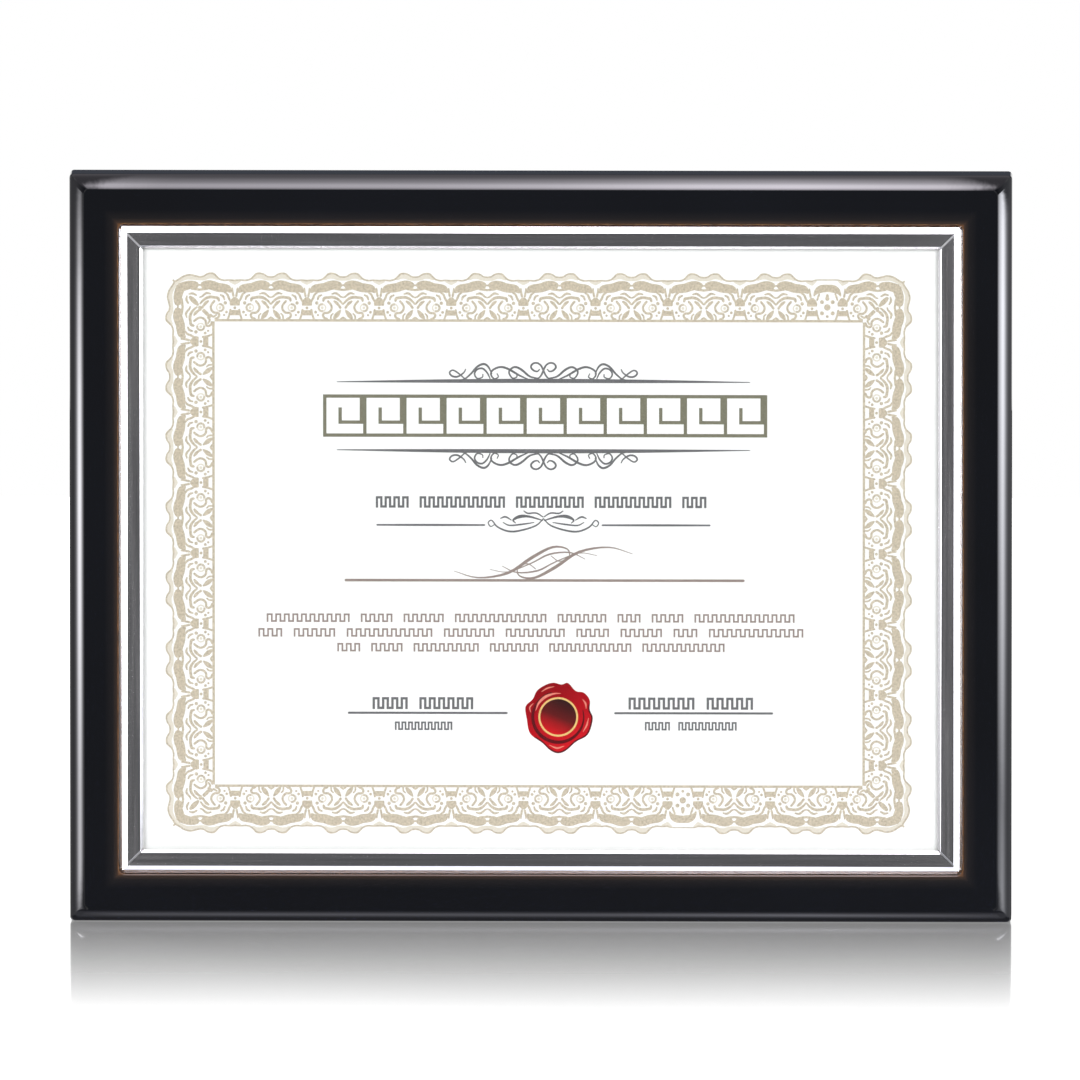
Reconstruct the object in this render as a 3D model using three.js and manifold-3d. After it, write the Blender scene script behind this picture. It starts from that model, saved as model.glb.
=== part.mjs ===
// Certificate holder: a lacquered board with a trimmed window, a clear lens, a certificate, a back panel held by
// turn buttons, two saw-tooth hangers and a folding easel strut.
// Millimetres, +Z up, the front faces -Y. The origin is the middle of the board's lower edge.
import * as THREE from "three";
import { mergeVertices } from "three/addons/utils/BufferGeometryUtils.js";
import Module from "manifold-3d";

const wasm = await Module();
wasm.setup();

// Sheets held in the window
const CERTIFICATE_WIDTH = 279.4;
const CERTIFICATE_HEIGHT = 215.9;
const CERTIFICATE_THICKNESS = 0.3;
const LENS_THICKNESS = 2;
const BACKING_THICKNESS = 6;
const PANEL_THICKNESS = 5;
const SHEET_GAP = 0.05; // air between sheets that lie on each other
const SHEET_PLAY = 1.25; // play between a sheet's edge and the trim around it

// Board
const BORDER = 16.55; // from the window's wall to the board's outer edge
const BOARD_CORNER_RADIUS = 1.8;
const FRONT_ROUND = 4.7; // quarter round along the front edges
const BACK_EASE = 0.8; // bevel along the back edges
const WINDOW_CORNER_RADIUS = 2;
const WINDOW_ROUND = 0.6; // quarter round along the window's front edge
const SOFTEST_CORNER = 0.7; // the least corner radius that a rounded outline keeps

// Trim rails: one extruded section, measured in from its outer face and back from the board's front face
const TRIM_PLAY = 0.15; // play between the trim and the window's wall
const TRIM_WALL = 1.1;
const TRIM_SETBACK = 0.5; // from the board's front face to the trim's flat face
const RIM_WIDTH = 2.7; // polished slope along the outer edge
const RIM_DROP = 1.2;
const FACE_WIDTH = 4.5;
const LIP_WIDTH = 0.9; // slope along the inner edge
const LIP_DROP = 0.8;
const LIP_REACH = 1.2; // from the lip's slope down to the lens
const FLANGE_WIDTH = 2.4;
const FLANGE_THICKNESS = 1.2;
const MITRE_GAP = 0.16; // the joint line where two rails meet

// Rebate for the panel
const REBATE_PLAY = 0.4; // play around the trim's flange
const PANEL_PLAY = 0.3; // play around the panel

// Turn buttons and their screws
const BUTTON_THICKNESS = 1.2;
const BUTTON_HUB_RADIUS = 4.2;
const BUTTON_TIP_RADIUS = 2.7;
const BUTTON_OVERLAP = 6; // how far a locked button lies over the panel
const BUTTON_TIP_LENGTH = 4; // the part of the tip that is bent up for a finger
const BUTTON_TIP_RISE = 1.1;
const BUTTON_GAP = 0.15; // air below and above a button
const BUTTON_SPREAD = 85; // from the board's middle to the buttons on the long sides
const SCREW_RADIUS = 1.25;
const SCREW_LENGTH = 10; // in the board
const SCREW_POINT = 2.2;
const SCREW_HEAD_RADIUS = 3.1;
const SCREW_HEAD_HEIGHT = 1.8;
const BORE_PLAY = 0.3; // play around every shank

// Saw-tooth hangers and their nails
const HANGER_LENGTH = 46;
const HANGER_WIDTH = 9;
const HANGER_THICKNESS = 0.8;
const HANGER_RISE = 1.7; // how far the toothed bar stands off the board
const HANGER_BAR = 24; // length of the toothed bar
const HANGER_JOGGLE = 3; // length of each slope between the bar and an end
const HANGER_CORNER_RADIUS = 2;
const TOOTH_COUNT = 11;
const TOOTH_DEPTH = 1.6;
const NAIL_INSET = 3.6; // from a hanger's end to its nail
const NAIL_RADIUS = 0.7;
const NAIL_LENGTH = 8;
const NAIL_POINT = 1.4;
const NAIL_HEAD_RADIUS = 1.8;
const NAIL_HEAD_HEIGHT = 0.7;

// Easel strut and its hinge
const PIVOT_HEIGHT = 190; // hinge pin above the board's lower edge
const FOOT_CLEARANCE = 4; // folded foot above the board's lower edge
const STRUT_TOP_WIDTH = 44;
const STRUT_FOOT_WIDTH = 68;
const STRUT_FOOT_RADIUS = 5;
const STRUT_ARCH = 5; // height of the arch between the two feet
const STRUT_AIR = 0.35; // air between the folded strut and the panel
const LEAF_WIDTH = 40;
const LEAF_LENGTH = 26;
const LEAF_THICKNESS = 0.75;
const LEAF_CORNER_RADIUS = 3;
const KNUCKLE_RADIUS = 1.9;
const KNUCKLE_LENGTH = 7;
const KNUCKLE_GAP = 0.4; // between neighbouring knuckles
const PIN_RADIUS = 0.95;
const PIN_HEAD_RADIUS = 1.6;
const PIN_HEAD_HEIGHT = 0.7;
const PIVOT_RISE = 2; // hinge pin behind the panel's back face
const OPEN_ANGLE = 20; // degrees at which the tongue stops on the fixed leaf
const RIVET_RADIUS = 1.4;
const RIVET_HEAD_RADIUS = 2.6;
const RIVET_HEAD_HEIGHT = 1;
const RIVET_TAIL_HEIGHT = 0.8;
const RIVET_EDGE = 8; // from a leaf's side edge to its rivet
const RIVET_DROP = 15; // from the hinge pin to the rivets

// Roundness of the curved faces
const EDGE_STEPS = 6;
const ARC_STEPS = 4;
const TURN_STEPS = 20;

// Places that follow from the sizes above, as depths behind the board's front face
const RIM_FRONT = TRIM_SETBACK + RIM_DROP;
const LIP_FRONT = TRIM_SETBACK + LIP_DROP;
const LIP_BACK = LIP_FRONT + LIP_REACH;
const LENS_FRONT = LIP_BACK + SHEET_GAP;
const CERTIFICATE_FRONT = LENS_FRONT + LENS_THICKNESS + SHEET_GAP;
const BACKING_FRONT = CERTIFICATE_FRONT + CERTIFICATE_THICKNESS + SHEET_GAP;
const PANEL_FRONT = BACKING_FRONT + BACKING_THICKNESS + SHEET_GAP;
const FLANGE_BACK = PANEL_FRONT - SHEET_GAP;
const FLANGE_FRONT = FLANGE_BACK - FLANGE_THICKNESS;
const LEDGE = FLANGE_FRONT - SHEET_GAP;
const BOARD_THICKNESS = PANEL_FRONT + PANEL_THICKNESS;

// Widths and heights that follow from the certificate and the pieces around it
const TRIM_WIDTH = CERTIFICATE_WIDTH + 2 * (SHEET_PLAY + TRIM_WALL);
const TRIM_HEIGHT = CERTIFICATE_HEIGHT + 2 * (SHEET_PLAY + TRIM_WALL);
const WINDOW_WIDTH = TRIM_WIDTH + 2 * TRIM_PLAY;
const WINDOW_HEIGHT = TRIM_HEIGHT + 2 * TRIM_PLAY;
const BOARD_WIDTH = WINDOW_WIDTH + 2 * BORDER;
const BOARD_HEIGHT = WINDOW_HEIGHT + 2 * BORDER;
const REBATE_STEP = FLANGE_WIDTH - TRIM_PLAY + REBATE_PLAY;
const BACK_BORDER = BORDER - REBATE_STEP;
const PIVOT_Z = PIVOT_HEIGHT - BOARD_HEIGHT / 2;
const BORE_RADIUS = PIN_RADIUS + BORE_PLAY;

// Finishes
const finish = (color, roughness, metalness) => () => new THREE.MeshStandardMaterial({ color, roughness, metalness });
const lacquer = finish(0x0b0c10, 0.06, 0);
const aluminium = finish(0xb9bbbd, 0.28, 1);
const clear = finish(0xeef3f4, 0.03, 0);
const paper = finish(0xf7f5ee, 0.8, 0);
const card = finish(0xd9d4c6, 0.9, 0);
const blackBoard = finish(0x1b1b1d, 0.85, 0);
const zinc = finish(0xaeb1b4, 0.35, 1);
const nickel = finish(0xc9c7c0, 0.22, 1);

// All pieces stand in one group: x across, y back from the board's front face, z up from the board's middle
const holder = new THREE.Group();
holder.name = "certificate_holder";
holder.position.set(0, -BOARD_THICKNESS / 2, BOARD_HEIGHT / 2);

function addPiece(parent, name, geometry, material) {
  const piece = new THREE.Mesh(geometry, material());
  piece.name = name;
  parent.add(piece);
  return piece;
}

function solidOf(geometry) {
  const shell = geometry.clone();
  shell.deleteAttribute("normal");
  shell.deleteAttribute("uv");
  const merged = mergeVertices(shell);
  return new wasm.Manifold(
    new wasm.Mesh({
      numProp: 3,
      vertProperties: merged.attributes.position.array,
      triVerts: Uint32Array.from(merged.index.array),
    }),
  );
}

function geometryOf(solid) {
  const mesh = solid.getMesh();
  const geometry = new THREE.BufferGeometry();
  geometry.setAttribute("position", new THREE.BufferAttribute(mesh.vertProperties, 3));
  geometry.setIndex(new THREE.BufferAttribute(mesh.triVerts, 1));
  geometry.computeVertexNormals();
  return geometry;
}

function roundedRectangle(width, height, radius) {
  const x = width / 2 - radius;
  const z = height / 2 - radius;
  const quarter = Math.PI / 2;
  const outline = new THREE.Shape();
  outline.absarc(x, z, radius, 0, quarter);
  outline.absarc(-x, z, radius, quarter, 2 * quarter);
  outline.absarc(-x, -z, radius, 2 * quarter, 3 * quarter);
  outline.absarc(x, -z, radius, 3 * quarter, 4 * quarter);
  return outline;
}

// A plate with a flat outline in x and z, from one depth to a greater one
function plate(outline, front, back) {
  const geometry = new THREE.ExtrudeGeometry(outline, {
    depth: back - front,
    bevelEnabled: false,
    curveSegments: ARC_STEPS,
  });
  geometry.rotateX(Math.PI / 2);
  geometry.translate(0, back, 0);
  return geometry;
}

// A bar with its section in y and z, drawn as (y, z), that runs along x about the middle
function bar(section, length) {
  const geometry = new THREE.ExtrudeGeometry(section, {
    depth: length,
    bevelEnabled: false,
    curveSegments: TURN_STEPS / 2,
  });
  geometry.rotateY(Math.PI / 2);
  geometry.rotateX(Math.PI / 2);
  geometry.translate(-length / 2, 0, 0);
  return geometry;
}

function boxShape(left, bottom, right, top) {
  const outline = new THREE.Shape();
  outline.moveTo(left, bottom);
  outline.lineTo(right, bottom);
  outline.lineTo(right, top);
  outline.lineTo(left, top);
  outline.closePath();
  return outline;
}

// A solid of rounded-rectangle outlines joined one after the other: each layer grows the outline at a depth
function layeredPlate(width, height, radius, layers) {
  const rings = layers.map(({ grow, depth }) => {
    const corner = Math.max(radius + grow, SOFTEST_CORNER);
    const outline = roundedRectangle(width + 2 * grow, height + 2 * grow, corner);
    return outline.getPoints(ARC_STEPS).map((point) => new THREE.Vector3(point.x, depth, point.y));
  });
  const count = rings[0].length;
  const corners = rings.flat();
  const faces = [];
  for (let layer = 0; layer + 1 < rings.length; layer += 1) {
    for (let i = 0; i < count; i += 1) {
      const next = (i + 1) % count;
      const a = layer * count + i;
      const b = layer * count + next;
      const c = a + count;
      const d = b + count;
      faces.push(a, d, b, a, c, d);
    }
  }
  const last = (rings.length - 1) * count;
  for (let i = 1; i + 1 < count; i += 1) {
    faces.push(0, i, i + 1);
    faces.push(last, last + i + 1, last + i);
  }
  const geometry = new THREE.BufferGeometry().setFromPoints(corners);
  geometry.setIndex(faces);
  geometry.computeVertexNormals();
  return geometry;
}

// Layers that follow a quarter round: the outline moves by the radius while the depth moves by the radius
function quarterRound(radius, direction) {
  const layers = [];
  for (let step = 0; step <= EDGE_STEPS; step += 1) {
    const angle = (step / EDGE_STEPS) * (Math.PI / 2);
    layers.push({
      grow: direction * radius * (1 - Math.sin(angle)),
      depth: radius * (1 - Math.cos(angle)),
    });
  }
  return layers;
}

// A turned piece about y: the profile holds (radius, y) from the tip to the top of the head
function turned(profile) {
  const points = profile.map(([radius, y]) => new THREE.Vector2(radius, y));
  return new THREE.LatheGeometry(points, TURN_STEPS);
}

function domedHead(radius, height) {
  const points = [];
  for (let step = 0; step <= ARC_STEPS; step += 1) {
    const angle = (step / ARC_STEPS) * (Math.PI / 2);
    points.push([radius * Math.cos(angle), height * (0.35 + 0.65 * Math.sin(angle))]);
  }
  points[ARC_STEPS][0] = 0;
  return [[radius, 0], ...points];
}

function pointedPin(radius, length, point, headRadius, headHeight) {
  return turned([[0, -length], [radius, point - length], [radius, 0], ...domedHead(headRadius, headHeight)]);
}

// A straight round cutter along y between two depths
function borer(x, z, radius, front, back) {
  const cylinder = new THREE.CylinderGeometry(radius, radius, back - front, TURN_STEPS);
  cylinder.translate(x, (front + back) / 2, z);
  return solidOf(cylinder);
}

// Sides of the board: the turn that carries the top side to each side, and the two lengths that swap with it
const SIDES = {
  top: { turn: 0, upright: false },
  right: { turn: Math.PI / 2, upright: true },
  bottom: { turn: Math.PI, upright: false },
  left: { turn: -Math.PI / 2, upright: true },
};

// A point given on the top side, in x along it and z out from the board's middle, carried round to a side
function onSide(turn, x, z) {
  return new THREE.Vector3(x, 0, z).applyAxisAngle(new THREE.Vector3(0, 1, 0), turn);
}

// Turn buttons lock the panel: two on each long side and one on each short side
const buttonPlaces = [];
for (const [side, { turn, upright }] of Object.entries(SIDES)) {
  const out = (upright ? BOARD_WIDTH : BOARD_HEIGHT) / 2 - BACK_BORDER / 2;
  const along = upright ? [0] : [-BUTTON_SPREAD, BUTTON_SPREAD];
  along.forEach((x) => {
    const place = onSide(turn, x, out);
    const end = place.x < 0 ? "left" : "right";
    const name = upright ? side : `${side}_${end}`;
    buttonPlaces.push({ name, turn, place });
  });
}

// Hangers: one for landscape at the top, one for portrait at the left edge as seen from the front
const hangerPlaces = [];
for (const [name, side] of [["landscape", "top"], ["portrait", "left"]]) {
  const { turn, upright } = SIDES[side];
  const out = (upright ? BOARD_WIDTH : BOARD_HEIGHT) / 2 - BACK_BORDER / 2;
  const shift = upright ? HANGER_LENGTH : 0;
  const place = onSide(turn, shift, out);
  const reach = HANGER_LENGTH / 2 - NAIL_INSET;
  const nails = [-reach, reach].map((x) => onSide(turn, shift + x, out));
  hangerPlaces.push({ name, turn, place, nails });
}

// Board: rounded outside, a window with a rounded front edge, a ledge and a rebate, and bores for the fasteners
function boardGeometry() {
  const outside = layeredPlate(BOARD_WIDTH, BOARD_HEIGHT, BOARD_CORNER_RADIUS, [
    ...quarterRound(FRONT_ROUND, -1),
    { grow: 0, depth: BOARD_THICKNESS - BACK_EASE },
    { grow: -BACK_EASE, depth: BOARD_THICKNESS },
  ]);
  const opening = layeredPlate(WINDOW_WIDTH, WINDOW_HEIGHT, WINDOW_CORNER_RADIUS, [
    { grow: WINDOW_ROUND, depth: -1 },
    ...quarterRound(WINDOW_ROUND, 1),
    { grow: 0, depth: LEDGE },
    { grow: REBATE_STEP, depth: LEDGE },
    { grow: REBATE_STEP, depth: BOARD_THICKNESS + 1 },
  ]);
  let board = solidOf(outside).subtract(solidOf(opening));
  const screwEnd = BOARD_THICKNESS - SCREW_LENGTH - BORE_PLAY;
  buttonPlaces.forEach(({ place }) => {
    const bore = borer(place.x, place.z, SCREW_RADIUS + BORE_PLAY, screwEnd, BOARD_THICKNESS + 1);
    board = board.subtract(bore);
  });
  const nailEnd = BOARD_THICKNESS - NAIL_LENGTH - BORE_PLAY;
  hangerPlaces.flatMap(({ nails }) => nails).forEach((nail) => {
    const bore = borer(nail.x, nail.z, NAIL_RADIUS + BORE_PLAY, nailEnd, BOARD_THICKNESS + 1);
    board = board.subtract(bore);
  });
  return geometryOf(board);
}

addPiece(holder, "board", boardGeometry(), lacquer);

// Trim section: rim, flat face and lip in front, a web along the window's wall and a flange on the ledge
function trimSection() {
  const faceInner = RIM_WIDTH + FACE_WIDTH;
  const lipInner = faceInner + LIP_WIDTH;
  const underFace = TRIM_SETBACK + TRIM_WALL;
  const section = new THREE.Shape();
  section.moveTo(0, FLANGE_FRONT);
  section.lineTo(0, RIM_FRONT);
  section.lineTo(RIM_WIDTH, TRIM_SETBACK);
  section.lineTo(faceInner, TRIM_SETBACK);
  section.lineTo(lipInner, LIP_FRONT);
  section.lineTo(lipInner, LIP_BACK);
  section.lineTo(lipInner - TRIM_WALL, LIP_BACK);
  section.lineTo(lipInner - TRIM_WALL, underFace);
  section.lineTo(TRIM_WALL, underFace);
  section.lineTo(TRIM_WALL, FLANGE_BACK);
  section.lineTo(-FLANGE_WIDTH, FLANGE_BACK);
  section.lineTo(-FLANGE_WIDTH, FLANGE_FRONT);
  section.closePath();
  return section;
}

// One rail along x with its outer face at z = 0: each point sits as far from the end as it lies from that face,
// which cuts both ends at 45 degrees. The corners are then rounded to match the window.
function railGeometry(length, across) {
  const rail = new THREE.ExtrudeGeometry(trimSection(), { depth: 1, bevelEnabled: false });
  const points = rail.attributes.position;
  for (let i = 0; i < points.count; i += 1) {
    const inward = points.getX(i);
    const half = length / 2 - inward - MITRE_GAP * Math.SQRT1_2;
    points.setXYZ(i, (2 * points.getZ(i) - 1) * half, points.getY(i), -inward);
  }
  const seat = layeredPlate(length, across, WINDOW_CORNER_RADIUS - TRIM_PLAY, [
    { grow: 0, depth: -1 },
    { grow: 0, depth: FLANGE_FRONT },
    { grow: FLANGE_WIDTH, depth: FLANGE_FRONT },
    { grow: FLANGE_WIDTH, depth: BOARD_THICKNESS },
  ]);
  seat.translate(0, 0, -across / 2);
  return geometryOf(solidOf(rail).intersect(solidOf(seat)));
}

for (const [side, { turn, upright }] of Object.entries(SIDES)) {
  const length = upright ? TRIM_HEIGHT : TRIM_WIDTH;
  const across = upright ? TRIM_WIDTH : TRIM_HEIGHT;
  const rail = addPiece(holder, `trim_rail_${side}`, railGeometry(length, across), aluminium);
  rail.rotation.y = turn;
  rail.position.copy(onSide(turn, 0, across / 2));
}

// Sheets behind the trim
const sheet = roundedRectangle(CERTIFICATE_WIDTH, CERTIFICATE_HEIGHT, SOFTEST_CORNER);
addPiece(holder, "clear_lens", plate(sheet, LENS_FRONT, LENS_FRONT + LENS_THICKNESS), clear);
const certificateBack = CERTIFICATE_FRONT + CERTIFICATE_THICKNESS;
addPiece(holder, "certificate", plate(sheet, CERTIFICATE_FRONT, certificateBack), paper);
addPiece(holder, "backing_card", plate(sheet, BACKING_FRONT, BACKING_FRONT + BACKING_THICKNESS), card);

// Back panel, with stepped bores for the two rivets of the hinge's fixed leaf
const rivetSpread = LEAF_WIDTH / 2 - RIVET_EDGE;
const rivetPlaces = [["left", -rivetSpread], ["right", rivetSpread]];
function panelGeometry() {
  const grow = REBATE_STEP - PANEL_PLAY;
  const corner = WINDOW_CORNER_RADIUS + grow;
  const outline = roundedRectangle(WINDOW_WIDTH + 2 * grow, WINDOW_HEIGHT + 2 * grow, corner);
  let panel = solidOf(plate(outline, PANEL_FRONT, BOARD_THICKNESS));
  const rivetZ = PIVOT_Z + RIVET_DROP;
  const sink = PANEL_FRONT + RIVET_TAIL_HEIGHT + BORE_PLAY;
  rivetPlaces.forEach(([, x]) => {
    panel = panel.subtract(borer(x, rivetZ, RIVET_RADIUS + BORE_PLAY, PANEL_FRONT - 1, BOARD_THICKNESS + 1));
    panel = panel.subtract(borer(x, rivetZ, RIVET_HEAD_RADIUS + BORE_PLAY, PANEL_FRONT - 1, sink));
  });
  return geometryOf(panel);
}

addPiece(holder, "back_panel", panelGeometry(), blackBoard);

// A turn button that points to -z from its screw, with a tip bent up for a finger
function buttonGeometry() {
  const reach = BACK_BORDER / 2 + PANEL_PLAY + BUTTON_OVERLAP;
  const tip = reach - BUTTON_TIP_RADIUS;
  const lean = Math.asin((BUTTON_HUB_RADIUS - BUTTON_TIP_RADIUS) / tip);
  const outline = new THREE.Shape();
  outline.absarc(0, 0, BUTTON_HUB_RADIUS, -lean, Math.PI + lean);
  outline.absarc(0, -tip, BUTTON_TIP_RADIUS, Math.PI + lean, 2 * Math.PI - lean);
  const hole = new THREE.Path();
  hole.absarc(0, 0, SCREW_RADIUS + BORE_PLAY, 0, 2 * Math.PI, true);
  outline.holes.push(hole);
  const bend = BUTTON_TIP_LENGTH - reach;
  const strip = new THREE.Shape();
  strip.moveTo(0, BUTTON_HUB_RADIUS);
  strip.lineTo(0, bend);
  strip.lineTo(BUTTON_TIP_RISE, -reach);
  strip.lineTo(BUTTON_TIP_RISE + BUTTON_THICKNESS, -reach);
  strip.lineTo(BUTTON_THICKNESS, bend);
  strip.lineTo(BUTTON_THICKNESS, BUTTON_HUB_RADIUS);
  strip.closePath();
  const blank = solidOf(bar(strip, 4 * BUTTON_HUB_RADIUS));
  const cut = solidOf(plate(outline, -1, BUTTON_THICKNESS + BUTTON_TIP_RISE + 1));
  return geometryOf(blank.intersect(cut));
}

buttonPlaces.forEach(({ name, turn, place }) => {
  const button = addPiece(holder, `turn_button_${name}`, buttonGeometry(), zinc);
  button.rotation.y = turn;
  button.position.set(place.x, BOARD_THICKNESS + BUTTON_GAP, place.z);
  const raise = BUTTON_THICKNESS + 2 * BUTTON_GAP;
  const length = SCREW_LENGTH + raise;
  const pin = pointedPin(SCREW_RADIUS, length, SCREW_POINT, SCREW_HEAD_RADIUS, SCREW_HEAD_HEIGHT);
  const screw = addPiece(holder, `turn_button_screw_${name}`, pin, nickel);
  screw.position.set(place.x, BOARD_THICKNESS + raise, place.z);
});

// A saw-tooth hanger: a strip with a raised bar, cut to a plan with teeth along the bar's lower edge
function hangerGeometry() {
  const end = HANGER_LENGTH / 2;
  const barEnd = HANGER_BAR / 2;
  const foot = barEnd + HANGER_JOGGLE;
  const strip = new THREE.Shape();
  strip.moveTo(-end, 0);
  strip.lineTo(-foot, 0);
  strip.lineTo(-barEnd, HANGER_RISE);
  strip.lineTo(barEnd, HANGER_RISE);
  strip.lineTo(foot, 0);
  strip.lineTo(end, 0);
  strip.lineTo(end, HANGER_THICKNESS);
  strip.lineTo(foot, HANGER_THICKNESS);
  strip.lineTo(barEnd, HANGER_RISE + HANGER_THICKNESS);
  strip.lineTo(-barEnd, HANGER_RISE + HANGER_THICKNESS);
  strip.lineTo(-foot, HANGER_THICKNESS);
  strip.lineTo(-end, HANGER_THICKNESS);
  strip.closePath();
  const blank = new THREE.ExtrudeGeometry(strip, { depth: 2 * HANGER_WIDTH, bevelEnabled: false });
  blank.translate(0, 0, -HANGER_WIDTH);
  const half = HANGER_WIDTH / 2;
  const side = end - HANGER_CORNER_RADIUS;
  const top = half - HANGER_CORNER_RADIUS;
  const quarter = Math.PI / 2;
  const outline = new THREE.Shape();
  outline.absarc(side, top, HANGER_CORNER_RADIUS, 0, quarter);
  outline.absarc(-side, top, HANGER_CORNER_RADIUS, quarter, 2 * quarter);
  outline.absarc(-side, -top, HANGER_CORNER_RADIUS, 2 * quarter, 3 * quarter);
  const pitch = HANGER_BAR / TOOTH_COUNT;
  for (let tooth = 0; tooth < TOOTH_COUNT; tooth += 1) {
    outline.lineTo(-barEnd + tooth * pitch, -half);
    outline.lineTo(-barEnd + (tooth + 0.5) * pitch, TOOTH_DEPTH - half);
  }
  outline.lineTo(barEnd, -half);
  outline.absarc(side, -top, HANGER_CORNER_RADIUS, 3 * quarter, 4 * quarter);
  [-1, 1].forEach((hand) => {
    const hole = new THREE.Path();
    hole.absarc(hand * (end - NAIL_INSET), 0, NAIL_RADIUS + BORE_PLAY, 0, 2 * Math.PI, true);
    outline.holes.push(hole);
  });
  const cut = solidOf(plate(outline, -1, HANGER_RISE + HANGER_THICKNESS + 1));
  return geometryOf(solidOf(blank).intersect(cut));
}

hangerPlaces.forEach(({ name, turn, place, nails }) => {
  const hanger = addPiece(holder, `hanger_${name}`, hangerGeometry(), zinc);
  hanger.rotation.y = turn;
  hanger.position.set(place.x, BOARD_THICKNESS + SHEET_GAP, place.z);
  const raise = HANGER_THICKNESS + 2 * SHEET_GAP;
  nails.forEach((nail, i) => {
    const pin = pointedPin(NAIL_RADIUS, NAIL_LENGTH + raise, NAIL_POINT, NAIL_HEAD_RADIUS, NAIL_HEAD_HEIGHT);
    const piece = addPiece(holder, `hanger_nail_${name}_${i + 1}`, pin, nickel);
    piece.position.set(nail.x, BOARD_THICKNESS + raise, nail.z);
  });
});

// Easel: all pieces are placed about the hinge pin, with y back from it and z up from it
const easel = new THREE.Group();
easel.position.set(0, BOARD_THICKNESS + PIVOT_RISE, PIVOT_Z);
holder.add(easel);

// Knuckles along the pin: strut, fixed, the tongue's gap, fixed, strut
const strutKnuckle = LEAF_WIDTH / 2 - KNUCKLE_LENGTH;
const fixedKnuckle = strutKnuckle - KNUCKLE_GAP - KNUCKLE_LENGTH;
const tongueHalf = fixedKnuckle - KNUCKLE_GAP;
const knuckleSpace = KNUCKLE_RADIUS + KNUCKLE_GAP;
const leafFace = PIVOT_RISE - LEAF_THICKNESS; // from the pin's middle to the near face of each leaf
const openAngle = THREE.MathUtils.degToRad(OPEN_ANGLE);
const tongueReach = (leafFace + leafFace * Math.cos(openAngle)) / Math.sin(openAngle) - BORE_PLAY;

// A leaf along the full width with a knuckle rolled at the pin: hand -1 lies on the panel and runs up from the
// pin, hand 1 lies on the strut and runs down from it
function rolledLeaf(hand) {
  const outline = roundedRectangle(LEAF_WIDTH, 2 * LEAF_LENGTH, LEAF_CORNER_RADIUS);
  const near = hand < 0 ? -PIVOT_RISE : leafFace;
  const blank = solidOf(plate(outline, near, near + LEAF_THICKNESS));
  const half = boxShape(-LEAF_WIDTH, 0, LEAF_WIDTH, -hand * 2 * LEAF_LENGTH);
  const leaf = blank.intersect(solidOf(plate(half, -LEAF_LENGTH, LEAF_LENGTH)));
  const round = new THREE.Shape();
  round.absarc(0, 0, KNUCKLE_RADIUS, 0, 2 * Math.PI);
  return leaf.add(solidOf(bar(round, LEAF_WIDTH)));
}

// Room for the other leaf's knuckles between two places along the pin
function knuckleRoom(from, to) {
  const room = new THREE.Shape();
  room.absarc(0, 0, knuckleSpace, 0, 2 * Math.PI);
  const cutter = bar(room, to - from);
  cutter.translate((from + to) / 2, 0, 0);
  return solidOf(cutter);
}

function boreOut(leaf) {
  const bore = new THREE.Shape();
  bore.absarc(0, 0, BORE_RADIUS, 0, 2 * Math.PI);
  return leaf.subtract(solidOf(bar(bore, 2 * LEAF_WIDTH)));
}

function rivetHoles(leaf, z) {
  let drilled = leaf;
  rivetPlaces.forEach(([, x]) => {
    drilled = drilled.subtract(borer(x, z, RIVET_RADIUS + BORE_PLAY, -LEAF_LENGTH, LEAF_LENGTH));
  });
  return drilled;
}

function fixedLeafGeometry() {
  const outer = strutKnuckle - KNUCKLE_GAP;
  let leaf = rolledLeaf(-1);
  leaf = leaf.subtract(knuckleRoom(outer, LEAF_WIDTH));
  leaf = leaf.subtract(knuckleRoom(-LEAF_WIDTH, -outer));
  leaf = leaf.subtract(knuckleRoom(-fixedKnuckle, fixedKnuckle));
  return geometryOf(rivetHoles(boreOut(leaf), RIVET_DROP));
}

// The strut's leaf has a tongue that passes behind the pin and stops on the fixed leaf when the strut is open
function strutLeafGeometry() {
  let leaf = rolledLeaf(1).subtract(knuckleRoom(-strutKnuckle, strutKnuckle));
  const tongue = boxShape(-tongueHalf, -LEAF_LENGTH / 2, tongueHalf, tongueReach);
  leaf = boreOut(leaf).add(solidOf(plate(tongue, leafFace, leafFace + LEAF_THICKNESS)));
  return geometryOf(rivetHoles(leaf, -RIVET_DROP));
}

addPiece(easel, "easel_hinge_fixed_leaf", fixedLeafGeometry(), zinc);
addPiece(easel, "easel_hinge_strut_leaf", strutLeafGeometry(), zinc);

// Hinge pin with a head at each end
const pinEnd = LEAF_WIDTH / 2 + BORE_PLAY;
const pinGeometry = turned([
  [0, -pinEnd - PIN_HEAD_HEIGHT],
  [PIN_HEAD_RADIUS, -pinEnd - PIN_HEAD_HEIGHT],
  [PIN_HEAD_RADIUS, -pinEnd],
  [PIN_RADIUS, -pinEnd],
  [PIN_RADIUS, pinEnd],
  [PIN_HEAD_RADIUS, pinEnd],
  [PIN_HEAD_RADIUS, pinEnd + PIN_HEAD_HEIGHT],
  [0, pinEnd + PIN_HEAD_HEIGHT],
]);
pinGeometry.rotateZ(-Math.PI / 2);
addPiece(easel, "easel_hinge_pin", pinGeometry, nickel);

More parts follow.
